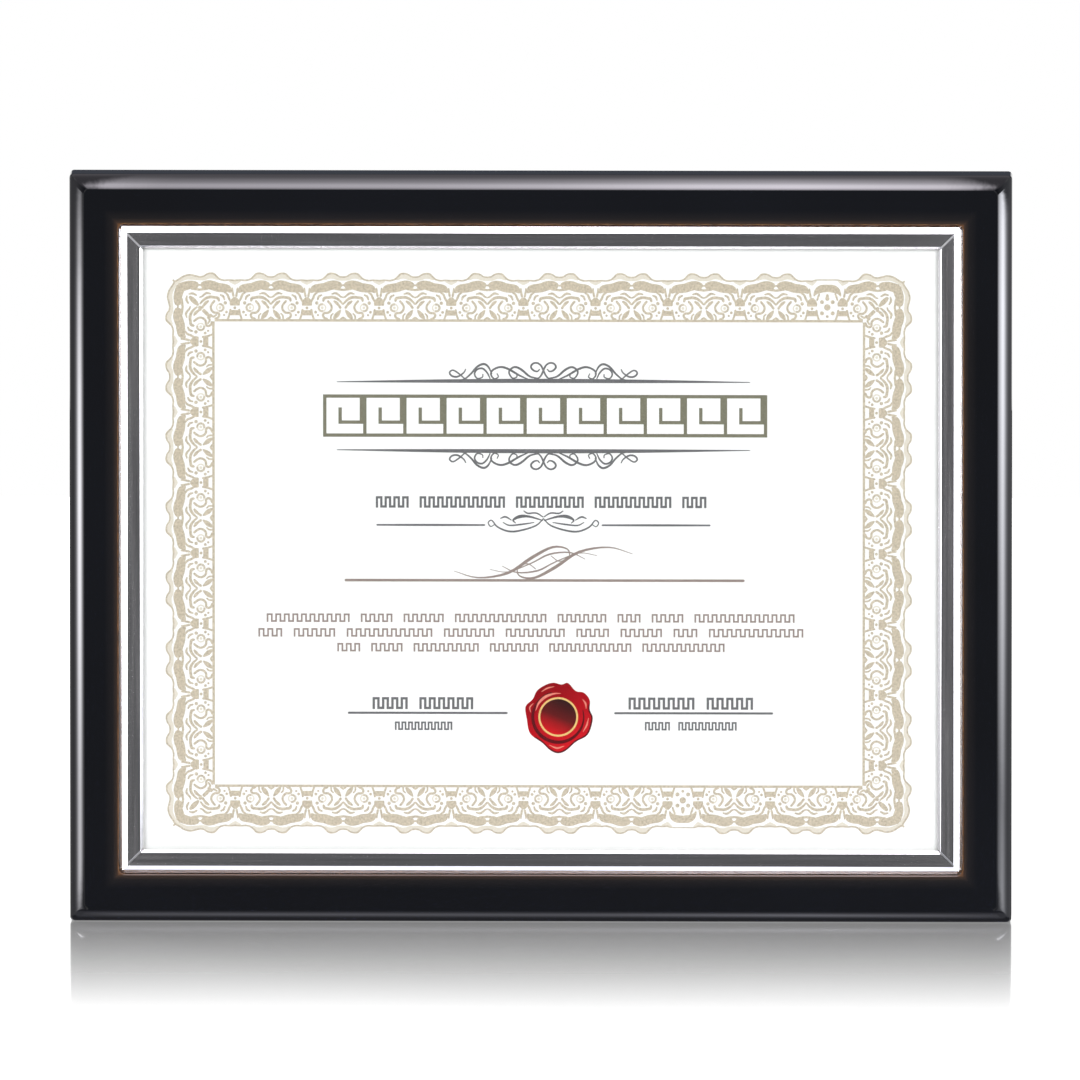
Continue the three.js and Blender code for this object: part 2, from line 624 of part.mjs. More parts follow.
// Strut: tapered board with two rounded feet, its top end just below the knuckles
const strutTop = -knuckleSpace - BORE_PLAY;
const strutFoot = FOOT_CLEARANCE - PIVOT_HEIGHT;
const strutFront = STRUT_AIR - PIVOT_RISE;
function strutGeometry() {
  const top = STRUT_TOP_WIDTH / 2;
  const foot = STRUT_FOOT_WIDTH / 2;
  const outline = new THREE.Shape();
  outline.moveTo(-top, strutTop);
  outline.lineTo(-foot, strutFoot + STRUT_FOOT_RADIUS);
  outline.quadraticCurveTo(-foot, strutFoot, STRUT_FOOT_RADIUS - foot, strutFoot);
  outline.quadraticCurveTo(0, strutFoot + 2 * STRUT_ARCH, foot - STRUT_FOOT_RADIUS, strutFoot);
  outline.quadraticCurveTo(foot, strutFoot, foot, strutFoot + STRUT_FOOT_RADIUS);
  outline.lineTo(top, strutTop);
  outline.closePath();
  const strutBack = leafFace - SHEET_GAP;
  let strut = solidOf(plate(outline, strutFront, strutBack));
  const sink = strutFront + RIVET_TAIL_HEIGHT + BORE_PLAY;
  rivetPlaces.forEach(([, x]) => {
    strut = strut.subtract(borer(x, -RIVET_DROP, RIVET_RADIUS + BORE_PLAY, -LEAF_LENGTH, LEAF_LENGTH));
    strut = strut.subtract(borer(x, -RIVET_DROP, RIVET_HEAD_RADIUS + BORE_PLAY, -LEAF_LENGTH, sink));
  });
  return geometryOf(strut);
}

addPiece(easel, "easel_strut", strutGeometry(), blackBoard);

// Rivets: a domed head on the leaf and a flat tail sunk in the board behind it
function rivetGeometry(length) {
  return turned([
    [0, -length],
    [RIVET_HEAD_RADIUS, -length],
    [RIVET_HEAD_RADIUS, RIVET_TAIL_HEIGHT - length],
    [RIVET_RADIUS, RIVET_TAIL_HEIGHT - length],
    [RIVET_RADIUS, 0],
    ...domedHead(RIVET_HEAD_RADIUS, RIVET_HEAD_HEIGHT),
  ]);
}

rivetPlaces.forEach(([name, x]) => {
  const onPanel = rivetGeometry(PANEL_THICKNESS + LEAF_THICKNESS);
  const fixed = addPiece(easel, `easel_rivet_panel_${name}`, onPanel, nickel);
  fixed.position.set(x, LEAF_THICKNESS - PIVOT_RISE + SHEET_GAP, RIVET_DROP);
  const leafBack = leafFace + LEAF_THICKNESS;
  const onStrut = rivetGeometry(leafBack - strutFront);
  const moving = addPiece(easel, `easel_rivet_strut_${name}`, onStrut, nickel);
  moving.position.set(x, leafBack + SHEET_GAP, -RIVET_DROP);
});

export default holder;
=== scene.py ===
"""Looks of the certificate holder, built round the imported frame. Metres, +Z up, the front faces -Y."""
import math

import bmesh
import bpy
from mathutils import Matrix, Vector
from mathutils.geometry import delaunay_2d_cdt

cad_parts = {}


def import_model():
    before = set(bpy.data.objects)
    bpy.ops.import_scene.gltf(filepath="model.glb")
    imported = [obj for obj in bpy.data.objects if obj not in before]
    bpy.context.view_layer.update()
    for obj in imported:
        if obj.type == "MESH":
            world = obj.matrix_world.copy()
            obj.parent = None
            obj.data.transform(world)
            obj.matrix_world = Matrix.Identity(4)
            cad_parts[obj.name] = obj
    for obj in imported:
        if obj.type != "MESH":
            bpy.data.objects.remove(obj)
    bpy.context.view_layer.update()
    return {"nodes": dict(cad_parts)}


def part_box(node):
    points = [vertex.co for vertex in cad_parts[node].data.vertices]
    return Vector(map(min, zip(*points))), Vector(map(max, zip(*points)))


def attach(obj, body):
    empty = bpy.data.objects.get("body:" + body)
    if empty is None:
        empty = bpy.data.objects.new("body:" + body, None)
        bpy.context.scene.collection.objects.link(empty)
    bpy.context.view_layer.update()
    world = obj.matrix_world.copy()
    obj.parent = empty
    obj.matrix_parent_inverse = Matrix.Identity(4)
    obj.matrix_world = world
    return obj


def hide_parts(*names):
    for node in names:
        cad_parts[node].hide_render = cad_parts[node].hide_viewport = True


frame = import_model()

MM = 0.001

# Sizes of the board's and the trim's sections, in metres
FRONT_ROUND = 5.0 * MM
BACK_EASE = 0.8 * MM
CORNER_RADIUS = 1.5 * MM
BORDER = 16.55 * MM
WINDOW_CHAMFER = 0.3 * MM
WINDOW_RADIUS = 2.0 * MM
WINDOW_EASE = 0.12 * MM  # rounding of the chamfer's two edges
WARM_EDGE_WIDTH = 0.36 * MM  # strip at the window's edge painted brown as a warm reflection
WARM_EDGE_LOWEST = -0.7  # upward part of the outward direction below which the edge gets no painted reflection
WARM_GLOW_REACH = 4.8 * MM  # how far from the window the painted warm reflection reaches
REBATE_STEP = 2.65 * MM
REBATE_EASE = 0.4 * MM
LEDGE = 9.7 * MM
TRIM_PLAY = 0.15 * MM
TRIM_WALL = 1.1 * MM
TRIM_SETBACK = 0.5 * MM
RIM_WIDTH = 2.7 * MM
RIM_DROP = 1.2 * MM
FACE_WIDTH = 4.5 * MM
TRIM_EASE = 0.3 * MM
LIP_WIDTH = 0.9 * MM
LIP_DROP = 0.8 * MM
LIP_REACH = 1.2 * MM
LIP_EASE = 0.25 * MM
FLANGE_WIDTH = 2.4 * MM
FLANGE_THICKNESS = 1.2 * MM
FLANGE_BACK = 10.95 * MM
MITRE_GAP = 0.04 * MM
MITRE_BEVEL = 0.8 * MM  # width of the bevel at an upright rail's end
MITRE_DROP = 0.4 * MM
FACE_TILT = 0.4  # where the section leans more than this, the brushed face ends
TRIM_CORNER = 1.7 * MM
TRIM_COLUMNS = (1.0 * MM, 1.3 * MM, TRIM_CORNER, 2.6 * MM)  # cuts along a rail near its end, from the mitre
CORNER_STEPS = 12
NEAR = 0.1 * MM  # slack when places are compared

board_low, board_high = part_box("board")
BOARD_WIDTH = board_high.x - board_low.x
BOARD_HEIGHT = board_high.z - board_low.z
BOARD_DEPTH = board_high.y - board_low.y
FRONT = board_low.y
MIDDLE = BOARD_HEIGHT / 2
TRIM_WIDTH = BOARD_WIDTH - 2 * (BORDER + TRIM_PLAY)
TRIM_HEIGHT = BOARD_HEIGHT - 2 * (BORDER + TRIM_PLAY)
PAPER_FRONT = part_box("certificate")[0].y

# The sheet's print, in millimetres from the sheet's middle
PRINT_SHIFT = (-0.7, -1.8)
LACE_WIDTH = 251.5
LACE_HEIGHT = 190.6
LACE_BAND = 16.6
LACE_CORNER = 23.4  # from the lace's outer edge to the first dip between two units
LACE_UNIT = 24.2  # length of a unit as drawn below
LACE_FILLER = 10.3  # one short unit makes up the length: last in the top row, third from the end below
LACE_RULE = 0.84
UNITS_ACROSS = 8
UNITS_DOWN = 6
INK_LIFT = 0.004 * MM
INK_STEP = 0.005 * MM
THINNEST = 0.02  # least width of a stroke
WELD = 1e-5  # points of a print that are closer are one
EMPTY = 1e-9  # a shape with less area is left out


def add_object(name, data):
    made = bpy.data.objects.new(name, data)
    bpy.context.scene.collection.objects.link(made)
    return made


# Materials

NOISE_LOW, NOISE_HIGH = 0.3, 0.7  # the usual range of a noise texture
METAL = {"Metallic": 1.0}


def feed(tree, node, sockets):
    """Set sockets of a node: each value is a constant or another node's output."""
    for socket, value in sockets.items():
        if isinstance(value, bpy.types.NodeSocket):
            tree.links.new(value, node.inputs[socket])
        else:
            node.inputs[socket].default_value = value


def add_node(tree, kind, sockets=None, **settings):
    node = tree.nodes.new(f"ShaderNode{kind}")
    for name, value in settings.items():
        setattr(node, name, value)
    feed(tree, node, sockets or {})
    return node


def calculate(tree, operation, *values):
    return add_node(tree, "Math", dict(enumerate(values)), operation=operation).outputs[0]


def map_range(tree, value, start, end, low=0.0, high=1.0):
    """The value mapped from start and end to low and high, and held between them."""
    return add_node(tree, "MapRange", {
        "Value": value, "From Min": start, "From Max": end, "To Min": low, "To Max": high,
    }).outputs["Result"]


def mix_shaders(tree, factor, first, second):
    return add_node(tree, "MixShader", {"Fac": factor, 1: first, 2: second}).outputs["Shader"]


def mix_colours(tree, factor, first, second, way="MIX"):
    """Two colours mixed; the node's colours are its sockets 6 and 7 and its output 2."""
    return add_node(tree, "Mix", {"Factor": factor, 6: first, 7: second}, data_type="RGBA",
                    blend_type=way).outputs[2]


def object_place(tree):
    return add_node(tree, "TexCoord").outputs["Object"]


def parts_of(tree, vector):
    return add_node(tree, "SeparateXYZ", {"Vector": vector}).outputs


def new_material(name, sockets):
    """A material whose shader has these constants, with its node tree and shader."""
    made = bpy.data.materials.new(name)
    made.use_nodes = True
    tree = made.node_tree
    shader = tree.nodes["Principled BSDF"]
    feed(tree, shader, sockets)
    return made, tree, shader


def open_material(name):
    """A material without a shader, with its node tree and the socket for its surface."""
    made, tree, shader = new_material(name, {})
    tree.nodes.remove(shader)
    return made, tree, tree.nodes["Material Output"].inputs["Surface"]


def noise(tree, scale, stretch=(1, 1, 1), detail=4.0):
    place = add_node(tree, "Mapping", {"Vector": object_place(tree), "Scale": stretch}).outputs["Vector"]
    return add_node(tree, "TexNoise", {"Vector": place, "Scale": scale, "Detail": detail}).outputs["Fac"]


def ramp(tree, factor, stops):
    """Colour by factor: stops are (position, colour)."""
    node = add_node(tree, "ValToRGB")
    band = node.color_ramp.elements
    while len(band) < len(stops):
        band.new(0.5)
    for element, (position, colour) in zip(band, stops):
        element.position = position
        element.color = (*colour, 1)
    feed(tree, node, {"Fac": factor})
    return node.outputs["Color"]


def tones(tree, factor, dark, pale):
    return ramp(tree, factor, [(NOISE_LOW, dark), (NOISE_HIGH, pale)])


def spread(tree, factor, low, high):
    """A noise's usual range stretched to the range low to high."""
    return map_range(tree, factor, NOISE_LOW, NOISE_HIGH, low, high)


def bump(tree, shader, height, distance, strength, socket="Normal"):
    node = add_node(tree, "Bump", {"Height": height, "Distance": distance, "Strength": strength})
    feed(tree, shader, {socket: node.outputs["Normal"]})


def window_distance(tree):
    """Distance in metres from the window's edge, outside it, at the shaded point."""
    place = parts_of(tree, object_place(tree))
    sides = []
    for axis, middle, half in (("X", 0.0, BOARD_WIDTH / 2 - BORDER), ("Z", MIDDLE, MIDDLE - BORDER)):
        size = calculate(tree, "ABSOLUTE", calculate(tree, "SUBTRACT", place[axis], middle))
        sides.append(calculate(tree, "SUBTRACT", size, half))
    return calculate(tree, "MAXIMUM", *sides)


def mottled(name, dark, pale, scale, detail, sockets):
    """A material of two close tones in a noise pattern, with its node tree, shader and pattern."""
    made, tree, shader = new_material(name, sockets)
    pattern = noise(tree, scale, detail=detail)
    feed(tree, shader, {"Base Color": tones(tree, pattern, dark, pale)})
    return made, tree, shader, pattern


def lacquer():
    """Black lacquer under a hard clear coat; beside the window a brown tint is painted in as a warm
    reflection.
    """
    made, tree, shader = new_material("black_lacquer", {
        "Roughness": 0.6, "Specular IOR Level": 0.0, "Coat Weight": 1.0, "Coat Roughness": 0.02,
        "Coat IOR": 1.6,
    })
    depth = tones(tree, noise(tree, 9, detail=3), (0.001, 0.0013, 0.0026), (0.0024, 0.003, 0.0054))
    near = map_range(tree, window_distance(tree), 0.0, WARM_GLOW_REACH)
    # Painted reflection: a warm brown that fades out over the lacquer from the window's edge.
    painted_glow = ramp(tree, near, [(0.0, (0.12, 0.055, 0.024)), (0.1, (0.034, 0.02, 0.012)),
                             (0.4, (0.0075, 0.0058, 0.0048)), (1.0, (0.0, 0.0, 0.0))])
    feed(tree, shader, {"Base Color": mix_colours(tree, 1.0, depth, painted_glow, "ADD")})
    bump(tree, shader, noise(tree, 260, detail=2), 0.004 * MM, 0.5, "Coat Normal")
    return made


def painted_edge_reflection():
    """Mottled brown painted on the window's edge along its top and sides, as a warm reflection."""
    return mottled("painted_warm_edge", (0.05, 0.022, 0.008), (0.2, 0.085, 0.025), 420, 4, {"Roughness": 0.7})[0]


def polished_metal():
    dark, pale = (0.86, 0.86, 0.86), (0.93, 0.93, 0.92)
    made, tree, shader, wear = mottled("trim_polished", dark, pale, 500, 5, METAL)
    feed(tree, shader, {"Roughness": spread(tree, wear, 0.045, 0.06)})
    return made


def brushed_metal(name, stretch):
    """Metal with fine brushing: long in the direction in which stretch is small."""
    made, tree, shader = new_material(name, METAL)
    streaks = noise(tree, 900, stretch, detail=6)
    greys = ramp(tree, streaks, [(0.3, (0.58, 0.56, 0.55)), (0.5, (0.65, 0.63, 0.62)),
                                 (0.72, (0.73, 0.71, 0.7))])
    feed(tree, shader, {"Base Color": greys, "Roughness": spread(tree, streaks, 0.06, 0.1)})
    bump(tree, shader, streaks, 0.001 * MM, 0.2)
    return made


def acrylic():
    """Clear sheet: what lies behind shows through, and the surface mirrors a little."""
    made, tree, surface = open_material("clear_acrylic_sheet")
    clear = add_node(tree, "BsdfTransparent", {"Color": (0.985, 0.99, 0.99, 1)})
    gloss = add_node(tree, "BsdfGlossy", {"Roughness": spread(tree, noise(tree, 30, detail=3), 0.012, 0.03)})
    fresnel = add_node(tree, "Fresnel", {"IOR": 1.45})
    # Rays pass straight on, so a face met from inside the sheet doesn't mirror.
    outside = calculate(tree, "SUBTRACT", 1.0, add_node(tree, "NewGeometry").outputs["Backfacing"])
    share = calculate(tree, "MULTIPLY", fresnel.outputs["Fac"], outside)
    tree.links.new(mix_shaders(tree, share, clear.outputs["BSDF"], gloss.outputs["BSDF"]), surface)
    return made


def fibrous(name, dark, pale, scale, roughness, relief=0.01 * MM):
    """Paper, card or printing ink: two close tones in a fine fibre pattern."""
    sockets = {"Roughness": roughness, "Specular IOR Level": 0.2}
    made, tree, shader, fibres = mottled(name, dark, pale, scale, 6, sockets)
    bump(tree, shader, fibres, relief, 0.3)
    return made


def ink(name, colour, depth=0.12):
    dark = tuple(c * (1 - depth) for c in colour)
    pale = tuple(min(1, c * (1 + depth)) for c in colour)
    return fibrous(name, dark, pale, 1500, 0.7, 0.002 * MM)


def plated(name, dark, pale, roughness):
    """Plated steel: cloudy tone, fine scratches and an uneven polish."""
    made, tree, shader, _ = mottled(name, dark, pale, 220, 5, METAL)
    polish = noise(tree, 900, (1, 1, 0.12))
    feed(tree, shader, {"Roughness": spread(tree, polish, roughness * 0.75, roughness * 1.3)})
    bump(tree, shader, noise(tree, 1600, (1, 1, 0.1)), 0.004 * MM, 0.4)
    return made


def faced_board():
    """Hardboard with black grained paper on its two faces and bare brown edges."""
    made, tree, shader = new_material("black_grained_board", {"Specular IOR Level": 0.35})
    grain = add_node(tree, "TexVoronoi", {"Vector": object_place(tree), "Scale": 900}).outputs["Distance"]
    black = tones(tree, noise(tree, 60, detail=6), (0.012, 0.012, 0.013), (0.028, 0.028, 0.03))
    brown = tones(tree, noise(tree, 700, (1, 0.3, 1)), (0.07, 0.04, 0.02), (0.17, 0.105, 0.055))
    facing = parts_of(tree, add_node(tree, "NewGeometry").outputs["Normal"])["Y"]
    on_face = map_range(tree, calculate(tree, "ABSOLUTE", facing), 0.35, 0.6)
    feed(tree, shader, {"Base Color": mix_colours(tree, on_face, brown, black),
                        "Roughness": spread(tree, grain, 0.62, 0.42)})
    bump(tree, shader, grain, 0.06 * MM, 0.5)
    return made


def wax(name, axis, stops):
    """Printed sealing wax: its colours run across the seal along axis, from one side to the other."""
    made, tree, shader = new_material(name, {"Specular IOR Level": 0.1})
    u, v = (place + shift for place, shift in zip(SEAL_PLACE, PRINT_SHIFT))
    span = 2 * SEAL_REACH * MM
    start = Vector((u * MM, PAPER_FRONT, MIDDLE + v * MM)) - 0.5 * span * Vector(axis)
    turn = Vector((1, 0, 0)).rotation_difference(Vector(axis)).inverted()
    across = add_node(tree, "Mapping", {
        "Vector": object_place(tree), "Rotation": turn.to_euler(), "Scale": (1 / span, 1 / span, 1 / span),
        "Location": -(turn @ start) / span,
    })
    fade = add_node(tree, "TexGradient", {"Vector": across.outputs["Vector"]})
    feed(tree, shader, {"Base Color": ramp(tree, fade.outputs["Fac"], stops),
                        "Roughness": spread(tree, noise(tree, 300), 0.35, 0.55)})
    return made


# Sections swept into closed meshes with exact normals


def section_segments(corners):
    """Segments (start, end, normal at start, normal at end) of a closed outline whose corners are
    (place, fillet radius, steps in the fillet)."""
    places = [Vector(place) for place, _, _ in corners]
    count = len(corners)
    area = sum(places[i].cross(places[(i + 1) % count]) for i in range(count))
    side = 1 if area > 0 else -1

    def normal(a, b):
        along = (b - a).normalized()
        return Vector((along.y, -along.x)) * side

    arcs = []
    for i, (_, radius, steps) in enumerate(corners):
        here = places[i]
        before = normal(places[i - 1], here)
        after = normal(here, places[(i + 1) % count])
        if radius == 0:
            arcs.append([(here, before), (here, after)])
            continue
        back = (places[i - 1] - here).normalized()
        ahead = (places[(i + 1) % count] - here).normalized()
        half = math.acos(max(-1, min(1, back.dot(ahead)))) / 2
        centre = here + (back + ahead).normalized() * (radius / math.sin(half))
        outward = 1 if (here - centre).dot(before + after) > 0 else -1
        turn = math.atan2(before.cross(after), before.dot(after))
        points = []
        for step in range(steps + 1):
            at = Matrix.Rotation(turn * step / steps, 2) @ before
            points.append((centre + at * radius * outward, at))
        arcs.append(points)
    segments = []
    for i in range(count):
        arc = arcs[i]
        if corners[i][1] > 0:
            for a, b in zip(arc, arc[1:]):
                segments.append((a[0], b[0], a[1], b[1]))
        start, end = arc[-1], arcs[(i + 1) % count][0]
        segments.append((start[0], end[0], start[1], start[1]))
    return segments


def mesh_piece(name, vertices, faces, normals, materials, indices):
    """A linked object of these faces; each face turns the way its own normals point."""
    mesh = bpy.data.meshes.new(name)
    turned, loops = [], []
    for face, own in zip(faces, normals):
        a, b, c = (Vector(vertices[i]) for i in face[:3])
        middle = (b - a).cross(c - a)
        if len(face) > 3:
            middle += (c - a).cross(Vector(vertices[face[3]]) - a)
        if middle.dot(sum(own, Vector())) < 0:
            face, own = face[::-1], own[::-1]
        turned.append(face)
        loops.extend(own)
    mesh.from_pydata(vertices, [], turned)
    for material in materials:
        mesh.materials.append(material)
    mesh.polygons.foreach_set("material_index", indices)
    mesh.polygons.foreach_set("use_smooth", [True] * len(turned))
    mesh.normals_split_custom_set(loops)
    return add_object(name, mesh)


def rounded_ring(half_width, half_height, radius, steps):
    """Points of a rounded rectangle with their outward directions, anticlockwise seen from the front."""
    points = []
    for quarter, (sign_x, sign_z) in enumerate(((1, 1), (-1, 1), (-1, -1), (1, -1))):
        for step in range(steps + 1):
            angle = math.pi / 2 * (quarter + step / steps)
            out = Vector((math.cos(angle), math.sin(angle)))
            centre = Vector((sign_x * (half_width - radius), sign_z * (half_height - radius)))
            points.append((centre + radius * out, out))
    return points


def sweep(segments, count, closed, normal_at):
    """Faces of a section's segments swept through count columns: (segment, column, face, normals)."""
    for k, (_, _, from_normal, to_normal) in enumerate(segments):
        following = (k + 1) % len(segments)
        for j in range(count if closed else count - 1):
            beside = (j + 1) % count
            corners = [(k, j, from_normal), (k, beside, from_normal), (following, beside, to_normal),
                       (following, j, to_normal)]
            yield k, j, [ring * count + step for ring, step, _ in corners], [normal_at(*c) for c in corners]


def build_board(gloss, brown):
    """The board: its section runs round the outline, and the outer corners keep one radius."""
    corners = [
        ((0, BOARD_DEPTH), BACK_EASE, 5),
        ((0, 0), FRONT_ROUND, 18),
        ((BORDER - WINDOW_CHAMFER, 0), WINDOW_EASE, 3),
        ((BORDER, WINDOW_CHAMFER), WINDOW_EASE, 3),
        ((BORDER, LEDGE), 0, 0),
        ((BORDER - REBATE_STEP, LEDGE), 0, 0),
        ((BORDER - REBATE_STEP, BOARD_DEPTH), REBATE_EASE, 3),
    ]
    segments = section_segments(corners)

    def corner_radius(inset, depth):
        if inset > BORDER - REBATE_STEP - REBATE_EASE - NEAR and depth > LEDGE - NEAR:
            return WINDOW_RADIUS
        if inset > BORDER / 2:
            return WINDOW_RADIUS + (BORDER - inset)
        return CORNER_RADIUS

    rings = []
    for start, *_ in segments:
        half_width, half_height = BOARD_WIDTH / 2 - start.x, BOARD_HEIGHT / 2 - start.x
        ring = rounded_ring(half_width, half_height, corner_radius(*start), CORNER_STEPS)
        rings.append([(Vector((p.x, FRONT + start.y, MIDDLE + p.y)), out) for p, out in ring])
    count = len(rings[0])
    vertices = [place for ring in rings for place, _ in ring]
    faces, normals, indices = [], [], []
    strip = BORDER - WARM_EDGE_WIDTH

    def normal_at(ring, step, flat):
        out = rings[ring][step][1]
        return Vector((-flat.x * out.x, flat.y, -flat.x * out.y))

    for k, j, face, own in sweep(segments, count, True, normal_at):
        start, end = segments[k][:2]
        at_window = start.y < LEDGE / 2 and end.y < LEDGE and min(start.x, end.x) >= strip
        faces.append(face)
        normals.append(own)
        # Material 1 paints a warm reflection on the window's edge, except where the edge faces down.
        indices.append(1 if at_window and rings[k][j][1].y > WARM_EDGE_LOWEST else 0)
    piece = mesh_piece("lacquer_board", vertices, faces, normals, [gloss, brown], indices)
    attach(piece, "holder")
    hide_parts("board")


def build_rail(side, shine, brushed):
    """One mitred trim rail: polished rim, brushed face, polished lip and small bevels at its ends."""
    face_inner = RIM_WIDTH + FACE_WIDTH
    lip_inner = face_inner + LIP_WIDTH
    lip_front = TRIM_SETBACK + LIP_DROP
    lip_back = lip_front + LIP_REACH
    under = TRIM_SETBACK + TRIM_WALL
    flange_front = FLANGE_BACK - FLANGE_THICKNESS
    segments = section_segments([
        ((0, flange_front), 0, 0),
        ((0, TRIM_SETBACK + RIM_DROP), TRIM_EASE, 4),
        ((RIM_WIDTH, TRIM_SETBACK), TRIM_EASE, 3),
        ((face_inner, TRIM_SETBACK), TRIM_EASE, 3),
        ((lip_inner, lip_front), LIP_EASE, 4),
        ((lip_inner, lip_back), 0, 0),
        ((lip_inner - TRIM_WALL, lip_back), 0, 0),
        ((lip_inner - TRIM_WALL, under), 0, 0),
        ((TRIM_WALL, under), 0, 0),
        ((TRIM_WALL, FLANGE_BACK), 0, 0),
        ((-FLANGE_WIDTH, FLANGE_BACK), 0, 0),
        ((-FLANGE_WIDTH, flange_front), 0, 0),
    ])
    upright = side in ("left", "right")
    length = TRIM_HEIGHT if upright else TRIM_WIDTH
    across = TRIM_WIDTH if upright else TRIM_HEIGHT
    turn = {"top": 0, "left": 1, "bottom": 2, "right": 3}[side]
    spin = Matrix.Rotation(-turn * math.pi / 2, 3, "Y")

    def world(along, inward, depth):
        return spin @ Vector((along, 0, across / 2 - inward)) + Vector((0, FRONT + depth, MIDDLE))

    gap = MITRE_GAP * math.sqrt(0.5)
    bevel = MITRE_BEVEL if upright else MITRE_BEVEL / 4
    ends = [0, bevel, *TRIM_COLUMNS]
    columns = [(-1, e) for e in ends] + [(1, e) for e in reversed(ends)]
    vertices = []
    for start, *_ in segments:
        for sign, end in columns:
            inward, depth = start
            from_end = inward + gap + end
            if -NEAR / 10 <= inward < TRIM_CORNER and from_end < TRIM_CORNER and depth < flange_front:
                centre = Vector((TRIM_CORNER, TRIM_CORNER))
                away = Vector((from_end, inward)) - centre
                if away.length > TRIM_CORNER:
                    from_end, inward = centre + away.normalized() * TRIM_CORNER
                    depth -= (inward - start.x) * RIM_DROP / RIM_WIDTH
            if end == 0 and inward > RIM_WIDTH and depth < lip_front + NEAR / 5:
                depth += MITRE_DROP
            vertices.append(world(sign * (length / 2 - from_end), inward, depth))
    count = len(columns)
    faces, normals, indices = [], [], []

    def normal_at(_ring, _step, flat):
        return spin @ Vector((0, flat.y, -flat.x))

    for k, j, face, own in sweep(segments, count, False, normal_at):
        start, _, from_normal, to_normal = segments[k]
        at_end = j in (0, count - 2)
        if at_end:
            a, b, c, d = (vertices[i] for i in face)
            flat = (c - a).cross(d - b)
            if flat.length > 0:
                flat = flat.normalized()
                own = [flat if flat.dot(own[0] + own[2]) > 0 else -flat] * 4
        lean = max(abs(from_normal.x), abs(to_normal.x))
        on_face = lean < FACE_TILT and from_normal.y < 0 and start.y < under
        faces.append(face)
        normals.append(own)
        indices.append(1 if on_face and not at_end else 0)
    for column, sign in ((0, -1), (count - 1, 1)):
        first = len(vertices)
        vertices.extend([vertices[k * count + column] for k in range(len(segments))])
        faces.append(list(range(first, first + len(segments))))
        cap = spin @ Vector((sign, 0, 1)).normalized()
        normals.append([cap] * len(segments))
        indices.append(0)
    piece = mesh_piece(f"trim_bar_{side}", vertices, faces, normals, [shine, brushed], indices)
    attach(piece, "holder")
    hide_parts(f"trim_rail_{side}")


# The printed sheet


def stay(s, t):
    return (s, t)


def curve_through(points, steps=4):
    """A smooth curve through (u, v, width) points."""
    points = [Vector(p) for p in points]
    if len(points) == 2:
        return points
    padded = [2 * points[0] - points[1], *points, 2 * points[-1] - points[-2]]
    curve = []
    for a, b, c, d in zip(padded, padded[1:], padded[2:], padded[3:]):
        for step in range(steps):
            t = step / steps
            curve.append(0.5 * (2 * b + (c - a) * t + (2 * a - 5 * b + 4 * c - d) * t * t
                                + (3 * b - a - 3 * c + d) * t ** 3))
    curve.append(points[-1])
    return curve


